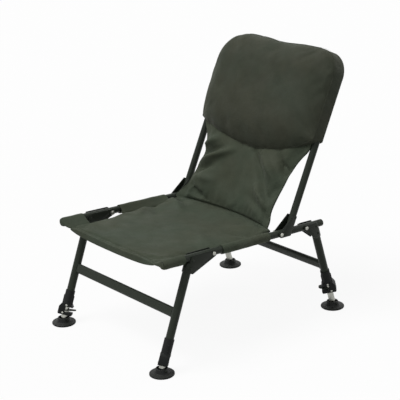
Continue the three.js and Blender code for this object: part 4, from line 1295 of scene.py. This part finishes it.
def sleeve_outline(sign, along):
    """Outer and inner corners round a rail, seen along it, as (across, rise)."""
    tip_x = seat_half(along) - TAB_OVERLAP - RAIL_X
    tip_z = seat_height(1, along) - TAB_DROP
    outer = []
    for k in range(SLEEVE_ARC + 1):
        angle = UNDER_ANGLE + (2 * math.pi + ROOT_ANGLE - UNDER_ANGLE) * k / SLEEVE_ARC
        size = SLEEVE_RADIUS + SLEEVE_SLACK * (0.5 + 0.5 * math.cos(angle + math.pi / 2))
        outer.append((size * math.cos(angle), size * math.sin(angle)))
    (under_x, under_z), (root_x, root_z) = outer[0], outer[-1]
    for share, sag in zip(TAB_TOP_SHARES, TAB_SAG):
        z = root_z + (tip_z + TAB_THICKNESS - root_z) * share + sag
        outer.append((root_x + (tip_x - root_x) * share, z))
    for share in TAB_UNDER_SHARES:
        outer.append((tip_x + (under_x - tip_x) * share, tip_z + (under_z - tip_z) * share))
    inner = []
    for x, z in outer:
        size = math.hypot(x, z)
        inner.append((x / size * SLEEVE_BORE, z / size * SLEEVE_BORE))
    return [(sign * x, z) for x, z in outer], [(sign * x, z) for x, z in inner]


def sleeve_mesh(sign, start, end, closed_front):
    """A wrinkled sleeve between two places along a rail, on one side of the chair."""
    stations = int((end - start) / SLEEVE_STATION)
    other = Vector(SIDE_SHIFT) * sign
    points = []
    for k in range(stations + 1):
        along = start + (end - start) * k / stations
        calm = min(min(k, stations - k) / CALM_RINGS, 1)
        outer, inner = sleeve_outline(sign, along)
        for n, (x, z) in enumerate(outer):
            spot = (x * WRINKLE_ACROSS, along * WRINKLE_ALONG, z * WRINKLE_ACROSS)
            depth = ARC_WRINKLE if n <= SLEEVE_ARC else TAB_WRINKLE
            swell = 1 + depth * noise.noise(Vector(spot) + other) * calm
            if closed_front and k < len(CLOSED_SHARES):
                swell *= CLOSED_SHARES[k]
            points.append(on_rails(sign * RAIL_X + x * swell, along, z * swell))
        shift = CLOSED_STEP if closed_front and k == 0 else 0
        points += [on_rails(sign * RAIL_X + x, along + shift, z) for x, z in inner]
    rings = [range(k, k + len(outer)) for k in range(0, len(points), len(outer))]
    outer_rings, inner_rings = rings[::2], rings[1::2]
    faces = []
    for rings in (outer_rings, inner_rings):
        for near, far in zip(rings, rings[1:]):
            faces += band(near, far)
    if closed_front:
        faces += [outer_rings[0], inner_rings[0]]
    faces += band(outer_rings[-1], inner_rings[-1])
    if not closed_front:
        faces += band(outer_rings[0], inner_rings[0])
    return tidy(mesh_of(points, faces), SLEEVE_MERGE, SLEEVE_TURN)


class CHAIR_OT_sleeves(bpy.types.Operator):
    """Makes the cloth sleeves that hold the sling on the rails"""

    bl_idname = "chair.sleeves"
    bl_label = "Rail sleeves"

    def execute(self, context):
        for side, sign in SIDES.items():
            for place, (start, end) in SLEEVES.items():
                mesh = sleeve_mesh(sign, start, end, place == "front")
                piece = add_piece(f"sleeve_{place}_{side}", mesh, "seat_fabric")
                subdivided(piece)
                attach(piece, "seat")
        return {"FINISHED"}


# Pillow

PILLOW_COLUMNS, PILLOW_ROWS = 60, 38
ROW_CROWDING = 0.92  # how much closer together the rows are at the edges
LIP_ROLL = 0.042  # height over which the pillow's lower lip rolls under
LIP_SHARE = 0.5  # how much of the pillow's depth that takes
CROWN_FALL = 0.12  # how much less the pillow is crowned at its sides
COVER_SHARE = 0.995  # width of the cover before its filling swells it
BACK_CROWN = 0.003  # how far the pillow's back bulges
TUCKS = [(-0.175, 0.8), (-0.095, 0.7), (-0.018, 0.8), (0.075, 0.45), (0.190, 1.3)]  # place, depth
TUCK_WIDTH, TUCK_HEIGHT = 0.008, 0.02
TUCKS_END = 0.01  # behind the tubes' axis
DENT_RATE, DENT_SHIFT, DENT_DEPTH = 7.0, (1, 2, 3), 0.003
DENTS_FROM, DENTS_RUN = 0.02, 0.03  # ahead of the tubes' axis


def pillow_rim(x):
    """Front seam ahead of the tubes' axis."""
    settings = bpy.context.scene.chair.pillow
    share = 0.5 + x / PILLOW_HALF / 2
    return settings.right_rim + (settings.left_rim - settings.right_rim) * ease(share)


def pillow_columns():
    """Places across the pillow, closer together towards its sides."""
    turns = [(i / PILLOW_COLUMNS - 0.5) * math.pi for i in range(PILLOW_COLUMNS + 1)]
    return [PILLOW_HALF * math.sin(turn) for turn in turns]


def pillow_fullness(x, up):
    """How far the crown has risen from the seams, from 0 to 1."""
    settings = bpy.context.scene.chair.pillow
    low = pillow_lower(x)
    full = math.sin(math.pi / 2 * min((up - low) / settings.lower_roll, 1))
    full += (roll(up - low, LIP_ROLL) - full) * LIP_SHARE
    full *= roll(pillow_upper(x) - up, settings.upper_roll)
    full *= roll(PILLOW_HALF - abs(x), settings.side_roll)
    return full * (1 - CROWN_FALL * (x / PILLOW_HALF) ** 2)


def build_pillow():
    """Points and faces of the pillow, the points of its two seams, and those of the front one."""
    settings = bpy.context.scene.chair.pillow
    front = np.zeros((PILLOW_COLUMNS + 1, PILLOW_ROWS + 1, 3))
    back = np.zeros_like(front)
    for i, x in enumerate(pillow_columns()):
        low, high, rim = pillow_lower(x), pillow_upper(x), pillow_rim(x)
        for j in range(PILLOW_ROWS + 1):
            turn = (j / PILLOW_ROWS - 0.5) * math.pi * ROW_CROWDING
            share = 0.5 + 0.5 * math.sin(turn) / math.sin(ROW_CROWDING / 2 * math.pi)
            up = low + (high - low) * share
            full = pillow_fullness(x, up)
            ahead = rim + (settings.crown - rim) * full
            behind = settings.back + BACK_CROWN * full
            front[i, j] = on_back(x * COVER_SHARE, TUBE_BEHIND - ahead, up)
            back[i, j] = on_back(x * COVER_SHARE, TUBE_BEHIND + behind, up)
    points, faces, loops = shell(front, back)
    return points, faces, loops[0] + loops[-1], loops[0]


class CHAIR_OT_pillow(bpy.types.Operator):
    """Makes the head pillow with its piped front seam"""

    bl_idname = "chair.pillow"
    bl_label = "Head pillow"

    def execute(self, context):
        settings = context.scene.chair.pillow
        points, faces, held, seam = build_pillow()
        mesh = rework(mesh_of(points, faces), face_out)
        piece = add_piece("head_pillow", mesh, "pillow_fabric")
        stuff(piece, held, context.scene.chair.fabric.pillow_loose)
        self.pull_tucks(piece.data)
        subdivided(piece)
        seam_line = [Vector(point) for point in coordinates(piece.data)[seam]]
        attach(piece, "backrest")
        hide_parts("pillow")
        bead("pillow_piping", seam_line, settings.piping_radius, "pillow_fabric", "backrest")
        return {"FINISHED"}

    @staticmethod
    def pull_tucks(mesh):
        """Pulls the cover in where the top seam is tacked down, and hollows soft dents."""
        settings = bpy.context.scene.chair.pillow
        points, out = coordinates(mesh), normals(mesh)
        away = points - np.array(BACK_PIVOT)
        up, rear = away @ np.array(BACK_UP), away @ np.array(BACK_REAR) - TUBE_BEHIND
        pull = np.zeros(len(points))
        for x, depth in TUCKS:
            near = ((points[:, 0] - x) / TUCK_WIDTH) ** 2
            near += ((up - pillow_upper(x)) / TUCK_HEIGHT) ** 2
            pull += depth * settings.tuck_depth * np.exp(-near) * (rear < TUCKS_END)
        dents = noise_at(points, DENT_RATE, DENT_SHIFT)
        pull -= DENT_DEPTH * dents * ease((-rear - DENTS_FROM) / DENTS_RUN)
        set_coordinates(mesh, points - out * pull[:, None])


# Rigid pieces

WELD_POINTS = 56
WELD_RIPPLE = 0.16
WELD_OUT = 0.4  # how far a weld's middle stands out of the leg, as a share of its radius
LEG_RADIUS = 0.0125
CROSSBAR_HALF_DEPTH, CROSSBAR_HALF_THICK = 0.015, 0.0075
LEG_RIVET_AT, LEG_RIVET_STEP = 0.018, 0.026  # above the bracket's lower end, and to the next
LEG_HALF_GRIP = 0.0148  # from the leg's axis to the middle of a rivet's head
BACK_RIVETS = [(0.023, 0.053), (0.036, 0.061)]  # behind the backrest's pivot, and above it
BACK_HALF_GRIP = 0.0133
BACK_RIVET_RADIUS, BACK_RIVET_RISE = 0.0036, 0.0018
BOLT_EDGE, CAP_EDGE, PLATE_EDGE, TIP_EDGE = 0.0003, 0.0004, 0.0004, 0.0004
FOOT_TURN = 34  # degrees up to which a mud foot's edges are smooth
UPPER_SCREW = 0.0195  # above the lever's axis
LOWER_SCREW, LOWER_SCREW_ASIDE = -0.006, 0.0075  # and towards the closed side of the lock
LOCK_HALF_GRIP = 0.0149
SCREW_RADIUS, SCREW_RISE = 0.0035, 0.0015


def leg_way(place, side):
    """Direction up a leg."""
    return Vector(JOINTS[f"leg_slide_{place}_{side}"]["axis"])


def foot_pin(place, side):
    """Middle of the pin that a leg's mud foot swivels on."""
    return Vector(JOINTS[f"foot_swivel_{place}_{side}"]["pos_m"])


def both_ways(points, across, half_grip):
    """Spots for heads at both ends of what runs through points along across."""
    return [
        (point + across * (half_grip * way), tuple(across * way))
        for point in points
        for way in (1, -1)
    ]


class CHAIR_OT_tubes(bpy.types.Operator):
    """Finishes the rails, legs, crossbars and back frame, and welds the crossbars in"""

    bl_idname = "chair.tubes"
    bl_label = "Tubes"

    def execute(self, context):
        dress_all(
            "seat_rail", "front_leg_left", "front_leg_right", "rear_leg_left", "rear_leg_right",
            "front_crossbar", "rear_crossbar", "back_frame",
        )
        for place in ("front", "rear"):
            for side, sign in SIDES.items():
                self.weld(place, side, sign)
        return {"FINISHED"}

    @staticmethod
    def weld(place, side, sign):
        """A rippled bead where a crossbar meets a leg."""
        radius = bpy.context.scene.chair.metal.weld_radius
        axis = leg_way(place, side)
        centre = sum(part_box(f"{place}_crossbar"), Vector()) / 2
        level = Vector((0, axis.z, -axis.y))
        straight = CROSSBAR_HALF_DEPTH - CROSSBAR_HALF_THICK
        points = []
        for k in range(WELD_POINTS):
            turn = 2 * math.pi * k / WELD_POINTS
            across = CROSSBAR_HALF_THICK * math.cos(turn)
            along = CROSSBAR_HALF_THICK * math.sin(turn) + math.copysign(straight, math.sin(turn))
            into = math.sqrt(LEG_RADIUS**2 - across**2)
            x = sign * (RAIL_X - into - radius * WELD_OUT)
            points.append(Vector((x, 0, 0)) + centre + level * across + axis * along)
        bead(
            f"weld_{place}_{side}", points, radius, "frame_steel", BODY_OF[f"{place}_crossbar"],
            WELD_RIPPLE,
        )


class CHAIR_OT_brackets(bpy.types.Operator):
    """Finishes the pressed brackets and rivets them to their tubes"""

    bl_idname = "chair.brackets"
    bl_label = "Brackets and rivets"

    def execute(self, context):
        dress_all(
            "front_leg_bracket", "rear_leg_bracket", "back_bracket",
            edge_round=context.scene.chair.metal.edge_round,
        )
        across = Vector((1, 0, 0))
        for side, sign in SIDES.items():
            for place in ("front", "rear"):
                spots = both_ways(self.leg_rivets(place, side), across, LEG_HALF_GRIP)
                body = BODY_OF[f"{place}_leg_bracket_{side}"]
                rivets(f"rivets_{place}_leg_{side}", spots, body)
            points = [on_back(sign * RAIL_X, rear, up) for rear, up in BACK_RIVETS]
            rivets(
                f"rivets_back_{side}", both_ways(points, across, BACK_HALF_GRIP), "backrest",
                radius=BACK_RIVET_RADIUS, rise=BACK_RIVET_RISE,
            )
        return {"FINISHED"}

    @staticmethod
    def leg_rivets(place, side):
        """Middles of the rivets through a leg, near the bracket's lower end."""
        axis, pin = leg_way(place, side), foot_pin(place, side)
        low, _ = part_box(f"{place}_leg_bracket_{side}")
        first = pin + axis * ((low.z - pin.z) / axis.z + LEG_RIVET_AT)
        return [first, first + axis * LEG_RIVET_STEP]


class CHAIR_OT_fasteners(bpy.types.Operator):
    """Finishes the pivot bolts, the foot pins and the rail caps"""

    bl_idname = "chair.fasteners"
    bl_label = "Bolts, pins and caps"

    def execute(self, context):
        dress_all("pivot_bolt", "foot_pin", edge_round=BOLT_EDGE)
        dress_all("rail_cap", edge_round=CAP_EDGE)
        return {"FINISHED"}


class CHAIR_OT_leg_locks(bpy.types.Operator):
    """Finishes the lock housings and their levers, and adds the screws"""

    bl_idname = "chair.leg_locks"
    bl_label = "Leg locks"

    def execute(self, context):
        edge = context.scene.chair.plastic.edge_round
        for place in ("front", "rear"):
            for side in SIDES:
                dress(f"leg_lock_{place}_{side}", edge)
                self.screws(place, side)
        dress_all("jam_plate", edge_round=PLATE_EDGE)
        return {"FINISHED"}

    @staticmethod
    def screws(place, side):
        """Screw heads on both flanks of a lock: above its lever, and beside it."""
        lever = JOINTS[f"lock_lever_{place}_{side}"]
        across = Vector(lever["axis"]).normalized()
        leg, pin = leg_way(place, side), foot_pin(place, side)
        up = (Vector(lever["pos_m"]) - pin).dot(leg)
        plate = sum(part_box(f"jam_plate_{place}_{side}"), Vector()) / 2 - pin
        closed = leg.cross(across)
        closed *= -math.copysign(1, closed.dot(plate))
        upper = pin + leg * (up + UPPER_SCREW)
        lower = pin + leg * (up + LOWER_SCREW) + closed * LOWER_SCREW_ASIDE
        rivets(
            f"lock_screws_{place}_{side}", both_ways([upper, lower], across, LOCK_HALF_GRIP),
            BODY_OF[f"leg_lock_{place}_{side}"], "bright_steel", SCREW_RADIUS, SCREW_RISE,
        )


class CHAIR_OT_inner_legs(bpy.types.Operator):
    """Finishes the sliding inner legs and their tips"""

    bl_idname = "chair.inner_legs"
    bl_label = "Inner legs"

    def execute(self, context):
        dress_all("inner_leg")
        dress_all("leg_tip", edge_round=TIP_EDGE)
        return {"FINISHED"}


class CHAIR_OT_mud_feet(bpy.types.Operator):
    """Finishes the swivelling mud feet"""

    bl_idname = "chair.mud_feet"
    bl_label = "Mud feet"

    def execute(self, context):
        edge = context.scene.chair.plastic.edge_round
        dress_all("foot_front", "foot_rear", edge_round=edge, turn=FOOT_TURN)
        return {"FINISHED"}


# Stitching

TAB_SEAM, TAB_SEAM_DROP = 0.0262, 0.0036  # inside the rail's axis, and below it
SEAM_MARGIN = 0.004  # from the ends of a sleeve
SEAM_FROM = 0.002  # how near the rails' front ends a seam may start
SEAM_STEP = 0.008
PILLOW_SEAM_ENDS = 7  # columns of the pillow without stitches at each side
PILLOW_SEAM_BACK, PILLOW_SEAM_UP = 0.006, 0.0015  # from the piped seam


class CHAIR_OT_stitching(bpy.types.Operator):
    """Sews the seams of the sleeves and the pillow"""

    bl_idname = "chair.stitching"
    bl_label = "Stitching"

    def execute(self, context):
        self.sleeve_seams()
        self.pillow_seam()
        return {"FINISHED"}

    @staticmethod
    def sleeve_seams():
        lines = []
        for sign in SIDES.values():
            for start, end in SLEEVES.values():
                first = max(start, SEAM_FROM) + SEAM_MARGIN
                steps = range(int((end - SEAM_MARGIN - first) / SEAM_STEP) + 1)
                x = sign * (RAIL_X - TAB_SEAM)
                lines.append([on_rails(x, first + SEAM_STEP * k, -TAB_SEAM_DROP) for k in steps])
        stitches("sleeve_stitches", lines, "seat")

    @staticmethod
    def pillow_seam():
        line = []
        for x in pillow_columns()[PILLOW_SEAM_ENDS:-PILLOW_SEAM_ENDS]:
            rear = TUBE_BEHIND - pillow_rim(x) + PILLOW_SEAM_BACK
            line.append(on_back(x, rear, pillow_upper(x) + PILLOW_SEAM_UP))
        stitches("pillow_stitches", [line], "backrest")


# Stage

FLOOR_HALF = 14
# For each light of the settings, where it shines from and its spread in degrees
LIGHTS = {
    "key": ((-0.6, -1.35, 2.9), 34),
    "fill": ((2.4, -2.6, 1.6), 60),
    "back": ((0.4, 2.4, 0.7), 60),
}
SENSOR = 36  # width in millimetres
VIEW_DEPTH = 50


def seen_directly(nodes):
    """1 for what the camera, a reflection or clear plastic shows, and 0 for light."""
    path = nodes.add("ShaderNodeLightPath").outputs
    seen = nodes.maths("MAXIMUM", path["Is Camera Ray"], path["Is Glossy Ray"])
    return nodes.maths("MAXIMUM", seen, path["Is Transmission Ray"])


class CHAIR_OT_stage(bpy.types.Operator):
    """Sets up the pale floor, the soft lights and the camera"""

    bl_idname = "chair.stage"
    bl_label = "Stage"

    def execute(self, context):
        settings = context.scene.chair.stage
        self.floor(context.scene, settings)
        self.room(context.scene, settings)
        self.camera(context.scene, settings)
        for name, (source, spread) in LIGHTS.items():
            self.soft_light(context.scene, name, source, getattr(settings, name), spread)
        context.scene.view_settings.view_transform = "Standard"
        return {"FINISHED"}

    @staticmethod
    def soft_light(scene, name, source, power, spread):
        """A large distant light that shines from a direction."""
        data = bpy.data.lights.new(name, "SUN")
        data.energy = power
        data.angle = math.radians(spread)
        light = bpy.data.objects.new(name, data)
        light.location = source
        light.rotation_euler = Vector(source).to_track_quat("Z", "Y").to_euler()
        scene.collection.objects.link(light)

    @staticmethod
    def floor(scene, settings):
        """A floor that shows white, and lights the chair with a colour of its own."""
        turns = [(-1, -1), (1, -1), (1, 1), (-1, 1)]
        mesh = mesh_of([(x * FLOOR_HALF, y * FLOOR_HALF, 0) for x, y in turns], [(0, 1, 2, 3)])
        floor = bpy.data.objects.new("floor", mesh)
        scene.collection.objects.link(floor)
        paint = Shader("studio_floor", {"Roughness": 0.9, "Specular IOR Level": 0.1})
        seen = seen_directly(paint)
        tone = paint.mix(seen, tuple(settings.bounce_colour), tuple(settings.floor_colour))
        paint.join(tone, paint.surface.inputs["Base Color"])
        blend = paint.add("ShaderNodeMixShader")
        paint.join(paint.maths("MULTIPLY", seen, settings.floor_glow), blend.inputs[0])
        paint.join(paint.surface.outputs[0], blend.inputs[1])
        paint.join(paint.add("ShaderNodeEmission").outputs[0], blend.inputs[2])
        paint.join(blend.outputs[0], paint.tree.nodes["Material Output"].inputs["Surface"])
        mesh.materials.append(paint.material)

    @staticmethod
    def room(scene, settings):
        """A white room that lights the chair with the strength of the settings."""
        scene.world = bpy.data.worlds.new("room")
        scene.world.use_nodes = True
        nodes = Nodes(scene.world.node_tree)
        background = nodes.tree.nodes["Background"]
        background.inputs["Color"].default_value = (1, 1, 1, 1)
        mix = nodes.add("ShaderNodeMix")
        mix.inputs["A"].default_value = settings.sky
        mix.inputs["B"].default_value = 1
        nodes.join(seen_directly(nodes), mix.inputs["Factor"])
        nodes.join(mix.outputs["Result"], background.inputs["Strength"])

    @staticmethod
    def camera(scene, settings):
        """A camera that looks at the target from a distance, azimuth and elevation."""
        azimuth, elevation, roll = settings.azimuth, settings.elevation, settings.roll
        x = math.sin(azimuth) * math.cos(elevation)
        y = -math.cos(azimuth) * math.cos(elevation)
        outward = Vector((x, y, math.sin(elevation)))
        level = Vector((math.cos(azimuth), math.sin(azimuth), 0))
        upright = outward.cross(level)
        right = level * math.cos(roll) + upright * math.sin(roll)
        up = upright * math.cos(roll) - level * math.sin(roll)
        data = bpy.data.cameras.new("camera")
        data.lens = settings.lens
        data.sensor_width = SENSOR
        data.clip_end = VIEW_DEPTH
        camera = bpy.data.objects.new("camera", data)
        turn = Matrix((right, up, outward)).transposed().to_4x4()
        place = Vector(settings.target) + outward * settings.distance
        camera.matrix_world = Matrix.Translation(place) @ turn
        scene.collection.objects.link(camera)
        scene.camera = camera


class CHAIR_PT_panel(bpy.types.Panel):
    """Sizes, colours and the steps that dress the chair"""

    bl_idname = "CHAIR_PT_panel"
    bl_label = "Fishing chair"
    bl_space_type = "VIEW_3D"
    bl_region_type = "UI"
    bl_category = "Chair"

    def draw(self, context):
        chair = context.scene.chair
        for group in (
            chair.fabric, chair.seat, chair.pillow, chair.metal, chair.plastic, chair.stitch,
            chair.stage,
        ):
            box = self.layout.box()
            for name in group.bl_rna.properties.keys():
                if name not in {"rna_type", "name"}:
                    box.prop(group, name)
        for step in STEPS:
            self.layout.operator(step.bl_idname)


STEPS = [
    CHAIR_OT_tubes,
    CHAIR_OT_brackets,
    CHAIR_OT_fasteners,
    CHAIR_OT_leg_locks,
    CHAIR_OT_inner_legs,
    CHAIR_OT_mud_feet,
    CHAIR_OT_sling,
    CHAIR_OT_sleeves,
    CHAIR_OT_pillow,
    CHAIR_OT_stitching,
    CHAIR_OT_stage,
]
CLASSES = [
    FabricSettings,
    SeatSettings,
    PillowSettings,
    MetalSettings,
    PlasticSettings,
    StitchSettings,
    StageSettings,
    ChairSettings,
    *STEPS,
    CHAIR_PT_panel,
]


def register():
    for each in CLASSES:
        bpy.utils.register_class(each)
    bpy.types.Scene.chair = PointerProperty(type=ChairSettings)


def unregister():
    del bpy.types.Scene.chair
    for each in reversed(CLASSES):
        bpy.utils.unregister_class(each)


def main():
    register()
    bpy.ops.chair.tubes()
    bpy.ops.chair.brackets()
    bpy.ops.chair.fasteners()
    bpy.ops.chair.leg_locks()
    bpy.ops.chair.inner_legs()
    bpy.ops.chair.mud_feet()
    bpy.ops.chair.sling()
    bpy.ops.chair.sleeves()
    bpy.ops.chair.pillow()
    bpy.ops.chair.stitching()
    bpy.ops.chair.stage()


if __name__ == "__main__":
    main()
